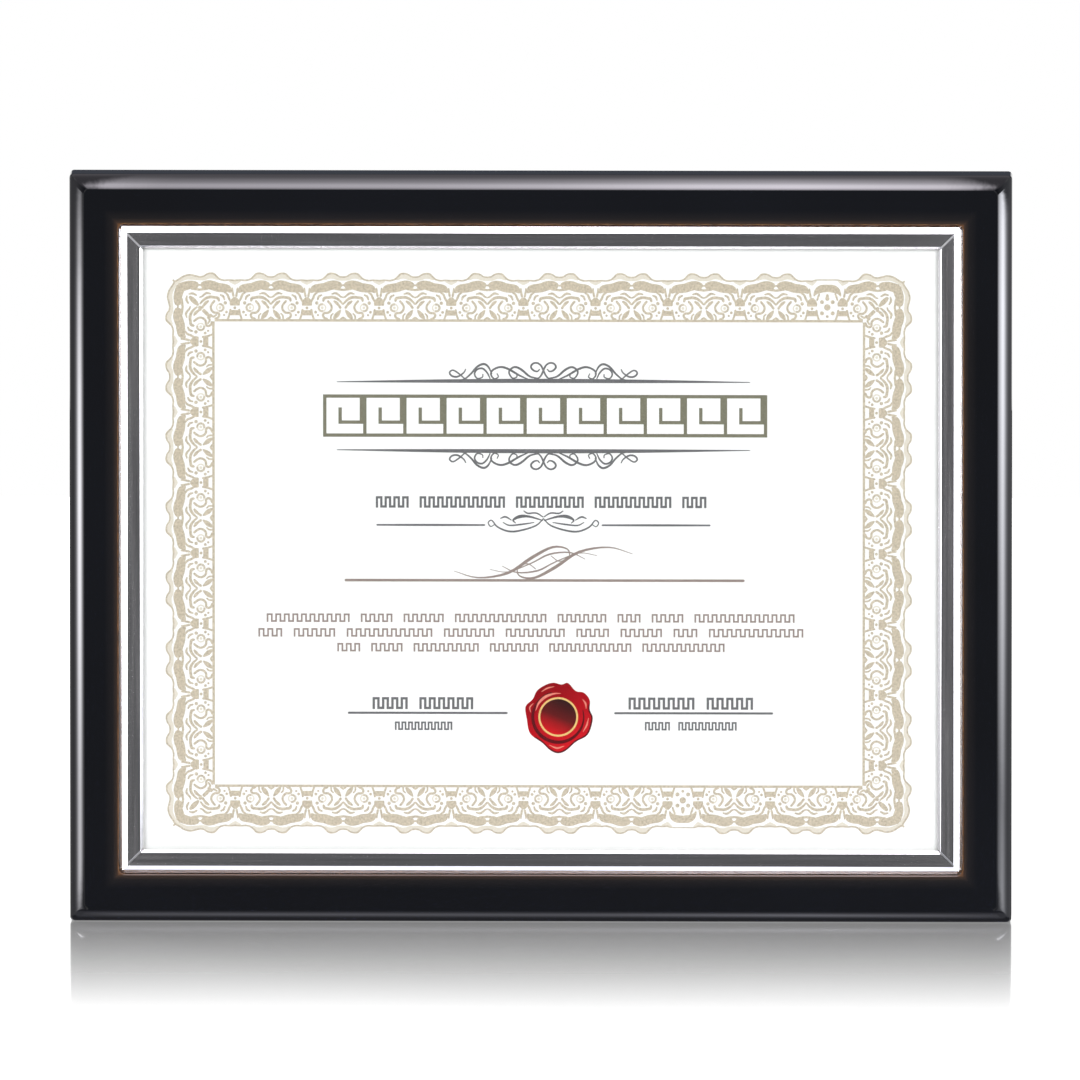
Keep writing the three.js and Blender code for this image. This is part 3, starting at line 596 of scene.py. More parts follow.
class Print:
    """Flat shapes of one ink on the sheet: u runs right and v up, in millimetres from the sheet's middle."""

    def __init__(self, name, material, layer):
        self.name = name
        self.material = material
        self.depth = PAPER_FRONT - INK_LIFT - INK_STEP * layer
        self.points = []
        self.faces = []

    def polygon(self, corners):
        area = sum(a[0] * b[1] - a[1] * b[0] for a, b in zip(corners, [*corners[1:], corners[0]]))
        if abs(area) < EMPTY:
            return
        if area < 0:
            corners = corners[::-1]
        first = len(self.points)
        self.points.extend(corners)
        self.faces.append(list(range(first, first + len(corners))))

    def quad(self, a, to_a, b, to_b):
        self.polygon([tuple(corner) for corner in (a - to_a, b - to_b, b + to_b, a + to_a)])

    def stroke(self, points, place=stay, caps=True):
        """A line with a width of its own at each point and round ends."""
        curve = curve_through([place(s, t) + (width,) for s, t, width in points])
        sides = []
        for i, here in enumerate(curve):
            ahead = curve[min(i + 1, len(curve) - 1)] - curve[max(i - 1, 0)]
            across = Vector((-ahead.y, ahead.x)).normalized() * max(here.z, THINNEST) / 2
            sides.append((Vector((here.x, here.y)), across))
        for start, end in zip(sides, sides[1:]):
            self.quad(*start, *end)
        if caps:
            for (end, across), sign in ((sides[0], 1), (sides[-1], -1)):
                turns = [Matrix.Rotation(sign * math.pi * k / 4, 2) @ across for k in range(5)]
                self.polygon([tuple(end + turn) for turn in turns])

    def strokes(self, lists, place=stay, caps=True):
        for points in lists:
            self.stroke(points, place, caps)

    def bars(self, path, width):
        """Bars with square ends along a path whose steps are level or upright."""
        half = width / 2
        for a, b in zip(path, path[1:]):
            low_u, high_u = sorted((a[0], b[0]))
            low_v, high_v = sorted((a[1], b[1]))
            self.polygon([(low_u - half, low_v - half), (high_u + half, low_v - half),
                          (high_u + half, high_v + half), (low_u - half, high_v + half)])

    def disc(self, centre, radius, steps=12):
        self.polygon([(centre[0] + radius * math.cos(2 * math.pi * k / steps),
                       centre[1] + radius * math.sin(2 * math.pi * k / steps)) for k in range(steps)])

    def dots(self, discs, place):
        for s, t, radius in discs:
            self.disc(place(s, t), radius)

    def ring(self, centre, radius, width, steps=14, start=0.0, sweep=360.0, place=stay):
        """An arc of a circle drawn as a line; angles in degrees."""
        points = []
        for k in range(steps + 1):
            angle = math.radians(start + sweep * k / steps)
            at = place(centre[0] + radius * math.cos(angle), centre[1] + radius * math.sin(angle))
            points.append(Vector(at))
        for a, b in zip(points, points[1:]):
            across = Vector((a.y - b.y, b.x - a.x)).normalized() * width / 2
            self.quad(a, across, b, across)

    def build(self):
        """One flat mesh in which overlapping shapes are joined."""
        corners = [Vector(p) for p in self.points]
        places, _, faces, _, _, sources = delaunay_2d_cdt(corners, [], self.faces, 1, WELD)
        shift_u, shift_v = PRINT_SHIFT
        places = [((p.x + shift_u) * MM, self.depth, MIDDLE + (p.y + shift_v) * MM) for p in places]
        mesh = bpy.data.meshes.new(self.name)
        mesh.from_pydata(places, [], [face for face, covered in zip(faces, sources) if covered])
        mesh.materials.append(self.material)
        piece = add_object(self.name, mesh)
        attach(piece, "holder")


# One half of a lace unit: along from the unit's middle, out from the lace's inner edge, width
LACE_OUTLINE = [(0, 15.1, .55), (1.3, 15.3, .55), (2.3, 15.95, .6), (3.4, 16.3, .6), (4.8, 16.2, .65),
                (5.8, 15.3, .6), (6.8, 14.4, .6), (8.4, 13.95, .6), (10.2, 14.05, .55), (12.1, 13.9, .6)]
LACE_PALE = [
    [(0, 14.4, 1.0), (1.6, 14.5, 1.1), (3.2, 15.2, 1.4), (4.7, 15.2, 1.4), (6.0, 14.5, .9)],
    [(10.4, 13.6, .6), (12.1, 13.2, 1.5)],
]
LACE_STROKES = [
    [(1.5, 12.4, 2.5), (2.8, 12.5, 3.0), (4.4, 12.2, 3.2), (6.2, 11.6, 3.1), (8.2, 11.35, 3.0),
     (9.6, 11.1, 2.6), (10.5, 10.4, 1.5)],
    [(11.25, 11.3, .5), (11.4, 9.8, .7), (11.6, 8.7, .8)],
    [(8.6, 9.9, .6), (9.5, 9.2, .75), (10.0, 8.0, .8), (10.6, 6.9, .7)],
    [(0, 12.35, .6), (.7, 12.5, .55), (1.3, 13.0, .3)],
    [(0, 10.75, .75), (1.2, 10.95, .85), (2.6, 11.1, .8)],
    [(3.7, 9.4, .5), (2.5, 9.65, .8), (1.6, 9.2, .75), (.8, 8.5, .65), (0, 8.2, .5)],
    [(.15, 6.0, .6), (1.0, 7.0, .8), (2.2, 7.9, .95), (3.6, 8.3, 1.0), (5.2, 8.15, .95), (6.3, 7.9, 1.0),
     (6.6, 7.1, .8)],
    [(2.9, 6.9, .7), (2.1, 6.3, 1.1), (1.4, 5.5, .8), (.9, 4.75, .9)],
    [(5.0, 6.9, .8), (4.2, 5.9, .8), (3.8, 4.9, .75), (4.1, 3.8, .8), (5.0, 3.0, .8), (6.2, 2.9, .8),
     (6.75, 2.2, .8), (6.3, 1.3, .8), (5.4, .9, .8)],
    [(7.2, 9.0, .6), (8.1, 8.5, .8), (8.5, 7.5, .6)],
]
# Its foot, left out beside a corner
LACE_FOOT = [
    [(.9, 3.8, .6), (1.5, 3.0, 1.3), (2.2, 2.1, 1.6), (2.9, 1.2, 1.0)],
    [(3.4, 2.7, .5), (4.0, 2.0, .6), (4.1, 1.0, .6)],
    [(0, 1.4, .7), (.8, .9, .6)],
]
LACE_DOTS = [(8.8, 6.3, .6), (9.2, 3.2, .5), (8.4, 2.2, .4)]
LACE_RING = (7.0, 4.7, 1.2)
LACE_ARC = {"width": .75, "start": -105, "sweep": 210}
PALE_ARC = {"width": .5, "start": 105, "sweep": 150}
PALE_DOT = .5
# The fan at each dip between two units
FAN_BLOCKS = [
    [(0, 8.3, .9), (0, 7.4, 2.6), (0, 6.4, 3.5), (0, 5.4, 3.2)],
    [(0, 3.9, 2.6), (0, 3.0, 3.4), (0, 2.1, 2.8)],
]
FAN_LEG = [(1.5, 4.0, .7), (1.8, 2.4, .7), (2.3, .9, .7)]
FAN_DOT = (0, 4.65, .5)
# The short unit
FILLER_STROKES = [
    [(0, 11.6, 2.5), (2.0, 11.4, 2.6), (3.3, 10.7, 2.1), (4.1, 9.8, 1.1), (4.4, 9.1, .6)],
    [(2.7, 9.6, .6), (3.1, 8.6, .7), (3.4, 7.6, .6)],
    [(0, 9.2, .9), (0, 8.0, 1.4)],
    [(0, 14.4, .4), (3.6, 14.4, .4), (5.15, 14.0, .4)],
]
FILLER_PALE = [(3.8, 14.0, .5), (5.15, 13.2, 1.4)]
FILLER_DOTS = [(0, 5.1, 1.1), (1.8, 6.9, .7), (1.8, 3.1, .7), (0, 2.0, .5)]
# A corner: left and up from the lace's inner corner, drawn once more mirrored about the diagonal
CORNER_MIDDLE = 5.0
CORNER_OUTLINE = [(5.0, 15.1, .55), (6.4, 15.4, .6), (8.4, 15.8, .6), (10.4, 15.3, .6), (12.0, 14.3, .6),
                  (13.3, 13.6, .6), (14.0, 13.9, .5)]
CORNER_PALE = [[(5.0, 14.4, 1.0), (7.4, 14.7, 1.2), (9.4, 14.8, 1.3), (11.4, 14.0, 1.2), (13.0, 13.0, 1.0)]]
CORNER_STROKES = [
    [(6.5, 12.4, 2.5), (8.4, 12.4, 2.9), (10.3, 11.9, 3.1), (11.6, 11.4, 3.1)],
    [(5.0, 12.35, .6), (5.7, 12.5, .55), (6.3, 13.0, .3)],
    [(5.0, 10.75, .75), (6.2, 10.95, .85), (7.6, 11.1, .8)],
    [(8.6, 9.3, .5), (7.4, 9.5, .8), (6.2, 8.9, .6)],
    [(5.6, 5.7, .7), (6.4, 7.0, .8), (7.6, 8.0, .9), (8.3, 8.2, .9)],
    [(3.9, 3.6, .8), (2.7, 2.6, 1.1), (1.6, 1.5, .8)],
    [(1.3, 2.3, .7), (.5, 1.6, .7), (-.6, 2.2, .6)],
]
CORNER_DOTS = [(CORNER_MIDDLE, 4.7, .6), (6.9, 6.9, .8)]


def half_unit(prints, place, strokes):
    tan, pale = prints
    tan.strokes([LACE_OUTLINE, *strokes], place)
    pale.strokes(LACE_PALE, place)
    tan.dots(LACE_DOTS, place)
    s, t, radius = LACE_RING
    tan.ring((s, t), radius, place=place, **LACE_ARC)
    pale.ring((s, t), radius, place=place, **PALE_ARC)
    pale.disc(place(s, t), PALE_DOT)


def lace_side(prints, origin, along, out, lengths):
    """Lace units of these lengths one after another from origin, with a fan at each dip."""
    tan, pale = prints
    at = 0.0

    def placer(middle, scale=1, mirror=1):
        def place(s, t):
            run = middle + mirror * s * scale
            return (origin[0] + along[0] * run + out[0] * t, origin[1] + along[1] * run + out[1] * t)
        return place

    def fan(middle):
        tan.strokes(FAN_BLOCKS, placer(middle), caps=False)
        tan.dots([FAN_DOT], placer(middle))
        for mirror in (1, -1):
            tan.stroke(FAN_LEG, placer(middle, 1, mirror))

    fan(at)
    for length in lengths:
        middle = at + length / 2
        for mirror in (1, -1):
            if length == LACE_FILLER:
                place = placer(middle, 1, mirror)
                tan.strokes(FILLER_STROKES, place)
                tan.dots(FILLER_DOTS, place)
                pale.stroke(FILLER_PALE, place)
            else:
                half_unit(prints, placer(middle, length / LACE_UNIT, mirror), LACE_STROKES + LACE_FOOT)
        at += length
        fan(at)
    ends = (LACE_BAND - LACE_CORNER, at - LACE_BAND + LACE_CORNER)
    tan.stroke([(run, LACE_RULE / 2, LACE_RULE) for run in ends], placer(0), caps=False)


def lace_corner(prints, corner, sign_u, sign_v):
    """The lace's corner: two half units that run away from it and the pieces between them."""
    tan, pale = prints
    scale = (LACE_CORNER - LACE_BAND + CORNER_MIDDLE) / (LACE_UNIT / 2)

    def square(p, q):
        return (corner[0] + sign_u * p, corner[1] + sign_v * q)

    for place in (square, lambda p, q: square(q, p)):
        half_unit(prints, lambda s, t: place(CORNER_MIDDLE - s * scale, t), LACE_STROKES)
        tan.strokes([CORNER_OUTLINE, *CORNER_STROKES], place)
        pale.strokes(CORNER_PALE, place)
    tan.dots(CORNER_DOTS, square)


def build_lace(inks):
    tan = Print("print_lace", inks["tan"], 1)
    pale = Print("print_lace_shade", inks["pale_tan"], 0)
    prints = (tan, pale)
    inner_u = LACE_WIDTH / 2 - LACE_BAND
    inner_v = LACE_HEIGHT / 2 - LACE_BAND
    across = (LACE_WIDTH - 2 * LACE_CORNER - LACE_FILLER) / UNITS_ACROSS
    down = (LACE_HEIGHT - 2 * LACE_CORNER) / UNITS_DOWN
    start_u = -LACE_WIDTH / 2 + LACE_CORNER
    start_v = LACE_HEIGHT / 2 - LACE_CORNER
    row = [across] * UNITS_ACROSS
    lace_side(prints, (start_u, inner_v), (1, 0), (0, 1), [*row, LACE_FILLER])
    lace_side(prints, (start_u, -inner_v), (1, 0), (0, -1), [*row[:-2], LACE_FILLER, *row[-2:]])
    lace_side(prints, (-inner_u, start_v), (0, -1), (-1, 0), [down] * UNITS_DOWN)
    lace_side(prints, (inner_u, start_v), (0, -1), (1, 0), [down] * UNITS_DOWN)
    for sign_u in (1, -1):
        for sign_v in (1, -1):
            lace_corner(prints, (sign_u * inner_u, sign_v * inner_v), sign_u, sign_v)
    tan.build()
    pale.build()


# Scroll flourish over a rule, right half: along from the middle, up from the rule, width
FLOURISH = [
    [(1.3, 3.9, .3), (2.1, 3.2, .42), (3.4, 3.6, .5), (4.2, 4.7, .52), (3.6, 5.8, .5), (2.2, 6.1, .48),
     (.9, 5.3, .48), (.1, 3.8, .5), (-.7, 2.0, .46), (-1.7, .9, .4), (-3.2, .6, .25)],
    [(1.9, .9, .3), (4.6, 1.5, .5), (7.4, 3.8, .6), (9.6, 4.7, .55), (11.3, 3.7, .5), (11.5, 2.4, .45),
     (10.4, .9, .4), (9.0, 1.3, .35), (9.0, 2.3, .3)],
    [(5.1, .5, .3), (8.2, 1.9, .5), (11.8, 4.0, .6), (14.5, 4.7, .55), (17.0, 3.7, .5), (17.7, 2.2, .45),
     (16.6, .7, .4), (15.2, 1.3, .35), (15.6, 2.4, .3)],
    [(17.4, 2.4, .3), (18.6, 4.8, .5), (20.2, 5.7, .6), (22.4, 4.7, .55), (24.3, 2.5, .5), (26.4, .7, .4),
     (28.2, .3, .25)],
    [(18.0, .8, .3), (19.0, 2.8, .45), (20.6, 4.2, .5), (22.4, 3.8, .5), (23.2, 2.3, .45), (22.3, .8, .4),
     (20.6, 1.2, .35), (20.4, 2.2, .3)],
    [(26.2, 3.9, .3), (26.9, 2.7, .4), (28.9, 1.4, .5), (30.8, 1.6, .5), (31.6, 2.8, .45), (30.4, 3.6, .42),
     (28.2, 2.2, .42), (26.6, .8, .35), (25.4, .3, .25)],
]
# Small flourish, right half
SMALL_FLOURISH = [
    [(0, .7, .3), (2.6, -1.7, .42), (8.0, -3.4, .5), (11.9, -3.6, .5), (15.5, -2.1, .42), (17.4, .1, .36),
     (18.6, -.7, .34), (17.8, -2.0, .3), (16.6, -1.4, .25)],
    [(.3, .1, .3), (4.8, 1.4, .6), (8.0, 1.4, .9), (10.2, .2, .5), (9.4, -.8, .25)],
    [(.2, 1.3, .3), (2.4, 2.6, .42), (5.2, 2.5, .42), (6.6, 3.3, .3)],
    [(3.2, -.6, .25), (7.0, -1.2, .45), (11.4, -1.6, .4), (13.6, -.6, .25)],
    [(10.8, .2, .25), (12.8, 1.3, .5), (14.4, .8, .3)],
]
# Scroll in place of a name, one half: the other is this one turned half round
SWASH = [
    [(-30, -3.0, .2), (-22, -5.2, .5), (-12, -3.6, .9), (-4, 1.6, 1.1), (3, 5.2, .8), (8, 4.6, .5),
     (8.6, 1.8, .4), (5.4, .4, .35), (2.6, 2.2, .3)],
    [(-14, -1.2, .2), (-9, -3.4, .45), (-2, -2.8, .6), (4, .2, .45), (12, 3.2, .3), (18, 2.4, .2)],
]
SWASH_HEIGHT = -3.0
# Long rule: along from the middle, towards the band, width
RULE = [(-69.5, .4, .3), (-34.75, .12, 1.16), (0, 0, 1.45), (34.75, .12, 1.16), (69.5, .4, .3)]
SMALL_RULE = [(19.9, -1.5, .6), (38, -1.5, .75), (56, -1.5, .6)]  # beside the small flourish
UPPER_RULE = 58.7  # heights on the sheet, from its middle
LOWER_RULE = 34.8
BAND_MIDDLE = 46.8
SMALL_HEIGHT = 11.2
NAME_RULE = [(-65.0, -9.1, .9), (69.0, -9.1, .9)]
SIGNATURE_RULES = [[(-64.0, -54.2, .75), (-10.8, -54.2, .75)], [(25.8, -54.2, .75), (78.7, -54.2, .75)]]
# Lines of square waves in place of text: left, right, middle, height, numbers of waves in the words
GREY_LINES = [
    (-54.5, 57.6, 17.5, 3.9, (4, 10, 8, 9, 3)),
    (-55.6, -20.9, -50.9, 4.1, (4, 6)),
    (30.7, 73.5, -50.9, 4.1, (7, 5)),
    (-48.2, -28.3, -58.6, 2.9, (9,)),
    (36.1, 67.6, -58.6, 2.9, (4, 9)),
]
BROWN_LINES = [
    (-91.4, 87.4, -21.9, 2.9, (10, 4, 5, 11, 6, 3, 4, 12)),
    (-94.2, 90.4, -26.9, 2.9, (3, 5, 10, 6, 7, 4, 5, 3, 11)),
    (-67.6, 63.8, -31.9, 2.9, (3, 4, 8, 6, 10, 10)),
]
MIDDLE_LINE = 1.6  # the print's own upright middle line
WORD_GAP = 1.0  # between two words, in waves
WAVE_STROKE = 0.2  # share of a wave's height
BOLDER = 1.3  # wider strokes in the flourishes than listed
KEY_COUNT = 11
KEY_PITCH = 13.5
KEY_HEIGHT = 14.4
KEY_STROKE = 1.15
KEY_HOOK = 0.42  # share of the pitch that a key's hook reaches back to


def placed(height, along=1, up=1):
    """Places a shape, drawn from the middle line, at a height on the sheet; -1 mirrors it."""
    return lambda s, t: (MIDDLE_LINE + along * s, height + up * t)


def bolder(strokes):
    """The same strokes, wider."""
    return [[(u, v, width * BOLDER) for u, v, width in stroke] for stroke in strokes]


def key_band(target):
    """A Greek-key band across the sheet where a heading would stand."""
    base = BAND_MIDDLE - (KEY_HEIGHT - KEY_STROKE) / 2
    step = (KEY_HEIGHT - KEY_STROKE) / 3
    top = base + 3 * step
    first = MIDDLE_LINE - KEY_COUNT / 2 * KEY_PITCH + KEY_STROKE / 2
    reach = KEY_PITCH - KEY_STROKE
    for k in range(KEY_COUNT):
        left = first + k * KEY_PITCH
        right, hook = left + reach, left + reach * KEY_HOOK
        target.bars([(left, base), (left, top), (right, top), (right, base + step), (hook, base + step),
                     (hook, base + 2 * step)], KEY_STROKE)
        target.bars([(left, base), (left + KEY_PITCH, base)], KEY_STROKE)
    end = first + KEY_COUNT * KEY_PITCH
    target.bars([(end, base), (end, top)], KEY_STROKE)


def meander_words(target, left, right, middle, height, words):
    """A line of small square waves in word lengths; words are the words' numbers of waves."""
    pitch = (right - left) / (sum(words) + WORD_GAP * (len(words) - 1))
    thick = height * WAVE_STROKE
    low, high = middle - height / 2 + thick / 2, middle + height / 2 - thick / 2
    at = left
    for waves in words:
        path = [(at, low)]
        for wave in range(waves):
            start = at + wave * pitch
            half = start + pitch / 2
            path += [(start, high), (half, high), (half, low), (start + pitch, low)]
        target.bars(path[:-1], thick)
        at += (waves + WORD_GAP) * pitch


def build_print(inks):
    build_lace(inks)
    band = Print("print_band", inks["olive"], 0)
    key_band(band)
    rules = Print("print_rules", inks["grey"], 1)
    rules.stroke(RULE, placed(UPPER_RULE, up=-1))
    rules.stroke(RULE, placed(LOWER_RULE))
    lines = Print("print_scrolls", inks["grey"], 0)
    small = Print("print_small_lines", inks["brown"], 0)
    for side in (1, -1):
        lines.strokes(bolder(FLOURISH), placed(UPPER_RULE, side))
        lines.strokes(bolder(FLOURISH), placed(LOWER_RULE, side, -1))
        lines.strokes(bolder(SMALL_FLOURISH), placed(SMALL_HEIGHT, side))
        rules.stroke(SMALL_RULE, placed(SMALL_HEIGHT, side))
        small.strokes(SWASH, placed(SWASH_HEIGHT, side, side))
    lines.strokes(SIGNATURE_RULES)
    small.stroke(NAME_RULE)
    for target, rows in ((lines, GREY_LINES), (small, BROWN_LINES)):
        for row in rows:
            meander_words(target, *row)
    for made in (band, rules, lines, small):
        made.build()
    build_seal(inks)


# Printed wax seal: its uneven outline from its middle
SEAL_OUTLINE = [(-1.7, 11.3), (1.1, 10.7), (3.2, 11.2), (5.7, 8.6), (8.4, 8.0), (10.3, 5.6), (10.3, 2.4),
                (11.3, -.6), (9.7, -5.8), (5.8, -8.2), (2.4, -11.2), (-.3, -12.0), (-2.8, -10.9),
                (-5.2, -8.6), (-9.2, -5.5), (-10.3, -.8), (-10.7, 3.4), (-8.4, 5.8), (-7.0, 8.6),
                (-4.5, 10.4)]
SEAL_SCALE = 1.03
SEAL_REACH = 12.0
SEAL_PLACE = (6.6, -55.5)
SEAL_STEPS = 5  # steps of the curve between two points of the outline
SEAL_EDGE = 0.95  # the dark edge reaches this far in
SEAL_MIDDLE = 6.4
SEAL_RING = 0.64
SEAL_ROUND = 36  # steps of the middle's circle
SHADE_SIDE = Vector((.55, -.83, 0))  # away from the light
SHADE_FROM = 2
CRESCENT_RADIUS = 8.6
CRESCENT_STEPS = 24
CRESCENT_START = 105  # degrees
CRESCENT_SWEEP = 270
CRESCENT_WIDTH = (0.35, 0.85)  # at its ends, and what its middle adds
SEAL_LIGHTS = [
    [(-7.6, 2.2, .15), (-6.5, 4.8, .7), (-4.2, 6.9, .9), (-1.4, 7.9, .5), (.8, 8.0, .15)],
    [(8.2, 6.0, .15), (9.2, 4.6, .6), (9.4, 2.8, .15)],
    [(10.2, -.4, .15), (9.6, -2.8, .55), (8.4, -5.0, .15)],
    [(-3.0, -9.6, .15), (-.4, -10.6, .6), (2.0, -9.9, .15)],
    [(-9.3, 1.6, .15), (-9.6, 3.2, .45), (-8.4, 4.6, .15)],
    [(-5.6, 8.6, .15), (-3.6, 9.8, .5), (-1.4, 10.3, .15)],
]


def build_seal(inks):
    body = Print("print_seal", inks["wax"], 1)
    shade = Print("print_seal_shade", inks["wax_dark"], 2)
    light = Print("print_seal_light", inks["wax_light"], 3)
    middle = Print("print_seal_middle", inks["wax_middle"], 2)
    gold = Print("print_seal_ring", inks["gold"], 3)

    def at(s, t):
        return (SEAL_PLACE[0] + s, SEAL_PLACE[1] + t)

    closed = curve_through([(*p, 0) for p in SEAL_OUTLINE + SEAL_OUTLINE[:3]], SEAL_STEPS)
    curve = [SEAL_SCALE * p for p in closed[SEAL_STEPS:-SEAL_STEPS]]
    for a, b in zip(curve, [*curve[1:], curve[0]]):
        body.polygon([at(0, 0), at(a.x, a.y), at(b.x, b.y)])
        if a.dot(SHADE_SIDE) > SHADE_FROM:
            inner = [at(p.x * SEAL_EDGE, p.y * SEAL_EDGE) for p in (b, a)]
            shade.polygon([at(a.x, a.y), at(b.x, b.y), *inner])
    crescent = []
    for k in range(CRESCENT_STEPS + 1):
        angle = math.radians(CRESCENT_START + CRESCENT_SWEEP * k / CRESCENT_STEPS)
        width = CRESCENT_WIDTH[0] + CRESCENT_WIDTH[1] * math.sin(math.pi * k / CRESCENT_STEPS)
        crescent.append((CRESCENT_RADIUS * math.cos(angle), CRESCENT_RADIUS * math.sin(angle), width))
    shade.stroke(crescent, at)
    light.strokes(SEAL_LIGHTS, at)
    middle.disc(SEAL_PLACE, SEAL_MIDDLE, SEAL_ROUND)
    gold.ring(SEAL_PLACE, SEAL_MIDDLE, SEAL_RING, SEAL_ROUND)
    for made in (body, shade, light, middle, gold):
        made.build()


# Pieces dressed from their CAD meshes

SHARP_ANGLE = math.radians(32)
FLAT_ANGLE = math.radians(1)
DOUBLES = 1e-6  # closer corners of a CAD mesh are one
BEVEL_STEPS = 2
PANEL_BEVEL = 0.25 * MM
STRUT_BEVEL = 0.3 * MM
BUTTON_BEVEL = 0.22 * MM
PIN_BEVEL = 0.15 * MM
SMALL_BEVEL = 0.12 * MM
FINE_BEVEL = 0.1 * MM


def dress(node, body, material, width):
    """A copy of a CAD piece with clean flat faces and softly bevelled edges."""
    mesh = frame["nodes"][node].data.copy()
    mesh.materials.clear()
    mesh.materials.append(material)
    work = bmesh.new()
    work.from_mesh(mesh)
    bmesh.ops.remove_doubles(work, verts=work.verts, dist=DOUBLES)
    bmesh.ops.dissolve_limit(work, angle_limit=FLAT_ANGLE, verts=work.verts, edges=work.edges)
    bmesh.ops.recalc_face_normals(work, faces=work.faces)
    for face in work.faces:
        face.smooth = True
        face.material_index = 0
    work.to_mesh(mesh)
    work.free()
    piece = add_object(f"{node}_dressed", mesh)
    bevel = piece.modifiers.new("edges", "BEVEL")
    bevel.width = width
    bevel.segments = BEVEL_STEPS
    bevel.limit_method = "ANGLE"
    bevel.angle_limit = SHARP_ANGLE
    bevel.harden_normals = True
    mesh.set_sharp_from_angle(angle=SHARP_ANGLE)
    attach(piece, body)
    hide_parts(node)
    return piece


RECESS_REACH = 1.9 * MM
RECESS_HALF = 0.38 * MM
RECESS_LEVELS = ((0.6 * MM, 1.05), (-1.0 * MM, 0.45))  # height over the head, share of its size


def cross_recess(piece, node):
    """A cross recess cut into a screw's head."""
    low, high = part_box(node)
    middle = (low + high) / 2
    quarter = [Vector(p) for p in ((RECESS_HALF, RECESS_REACH), (RECESS_HALF, RECESS_HALF),
                                   (RECESS_REACH, RECESS_HALF))]
    outline = [Matrix.Rotation(-turn * math.pi / 2, 2) @ p for turn in range(4) for p in quarter]
    work = bmesh.new()
    rows = []
    for height, share in RECESS_LEVELS:
        rows.append([work.verts.new((middle.x + p.x * share, high.y + height, middle.z + p.y * share))
                     for p in outline])
    work.faces.new(rows[0])
    work.faces.new(rows[1][::-1])
    for i in range(len(outline)):
        j = (i + 1) % len(outline)
        work.faces.new((rows[0][j], rows[0][i], rows[1][i], rows[1][j]))
    bmesh.ops.recalc_face_normals(work, faces=work.faces)
    mesh = bpy.data.meshes.new("recess_cutter")
    work.to_mesh(mesh)
    work.free()
    cutter = add_object("recess_cutter", mesh)
    cut = piece.modifiers.new("recess", "BOOLEAN")
    cut.object = cutter
    cut.operation = "DIFFERENCE"
    cut.solver = "EXACT"
    bpy.context.view_layer.update()
    shaped = bpy.data.meshes.new_from_object(piece.evaluated_get(bpy.context.evaluated_depsgraph_get()))
    piece.modifiers.clear()
    piece.data = shaped
    bpy.data.objects.remove(cutter)


def build_back(materials):
    zinc, nickel, board = materials["zinc"], materials["nickel"], materials["board"]
    dress("back_panel", "holder", board, PANEL_BEVEL)
    dress("easel_strut", "strut", board, STRUT_BEVEL)
    for place in ("top_left", "top_right", "right", "bottom_left", "bottom_right", "left"):
        dress(f"turn_button_{place}", f"button_{place}", zinc, BUTTON_BEVEL)
        screw = f"turn_button_screw_{place}"
        cross_recess(dress(screw, "holder", nickel, SMALL_BEVEL), screw)
    for way in ("landscape", "portrait"):
        dress(f"hanger_{way}", "holder", zinc, SMALL_BEVEL)
        for number in (1, 2):
            dress(f"hanger_nail_{way}_{number}", "holder", nickel, FINE_BEVEL)
    dress("easel_hinge_fixed_leaf", "holder", zinc, FINE_BEVEL)
    dress("easel_hinge_strut_leaf", "strut", zinc, FINE_BEVEL)
    dress("easel_hinge_pin", "holder", nickel, PIN_BEVEL)
    for side in ("left", "right"):
        dress(f"easel_rivet_panel_{side}", "holder", nickel, SMALL_BEVEL)
        dress(f"easel_rivet_strut_{side}", "strut", nickel, SMALL_BEVEL)


# Floor, cards, lamps and camera

CARD_RADIUS = 1.6
CAMERA_AZIMUTH = 0.8  # degrees
CAMERA_HEIGHT = 7.5
CAMERA_DISTANCE = 16.0
VIEW_WIDTH = 0.3640
SENSOR = 36.0
CAMERA_CLIP = 100
AIM = (-0.0003, 0.0, 0.1294)
FLOOR_CORNERS = [(-1.1, -1.2, 0), (1.1, -1.2, 0), (1.1, 1.1, 0), (-1.1, 1.1, 0)]
FLOOR_GREY = (0.42, 0.42, 0.42, 1)
MIRROR_REACH = 0.256  # how far in front of the board the floor mirrors it
MIRROR_SHARE = 0.822
MIRROR_FADE = 1.5
MIRROR_SIDE = 0.02  # how far beside the board the mirror fades out
MIRROR_ROUGHNESS = 0.06
WORLD_LIGHT = 0.38
LAMP_AIM = (0, 0, .12)
LAMPS = [  # name, place, size, power
    ("key", (.9, -3.0, 1.1), 1.4, 59.5), ("fill", (-1.1, -3.0, .7), 1.4, 41),
    ("back_left", (-1.3, 1.7, 1.1), 0.9, 20), ("back_right", (1.3, 1.7, 0.8), 0.9, 14),
]
# Brightness of the cards that the lacquer's rounds mirror: by azimuth or elevation in degrees, then by place
LEFT_GLOW = [(-9.5, .3), (-11, .8), (-18.7, 3.4), (-26.4, 9), (-34, 15.8), (-41.4, 18.4), (-49.2, 16.6),
             (-57.1, 10.4), (-65.2, 4.6), (-73.7, 1.9), (-82.5, .9), (-93, .5), (-105, .42), (-140, .3)]
RIGHT_GLOW = [(7, .3), (9.5, 1.6), (13.7, 4.8), (21.3, 9.3), (28.9, 12.7), (36.5, 15.6), (44.2, 18.4),
              (52.1, 17.6), (60.2, 13.3), (68.3, 8.3), (76.9, 4.3), (86.2, 2.3), (96.3, 1.2), (107, .8),
              (141, .3)]
TOP_GLOW = [(-4, 1), (1, 2.5), (9, 6), (18, 8.4), (26, 8.7), (35, 8.6), (44, 7), (54, 5.4), (64, 4.3),
            (74, 3.6), (86, 2.6), (98, 1.7), (114, 1), (134, .54), (162, .1)]
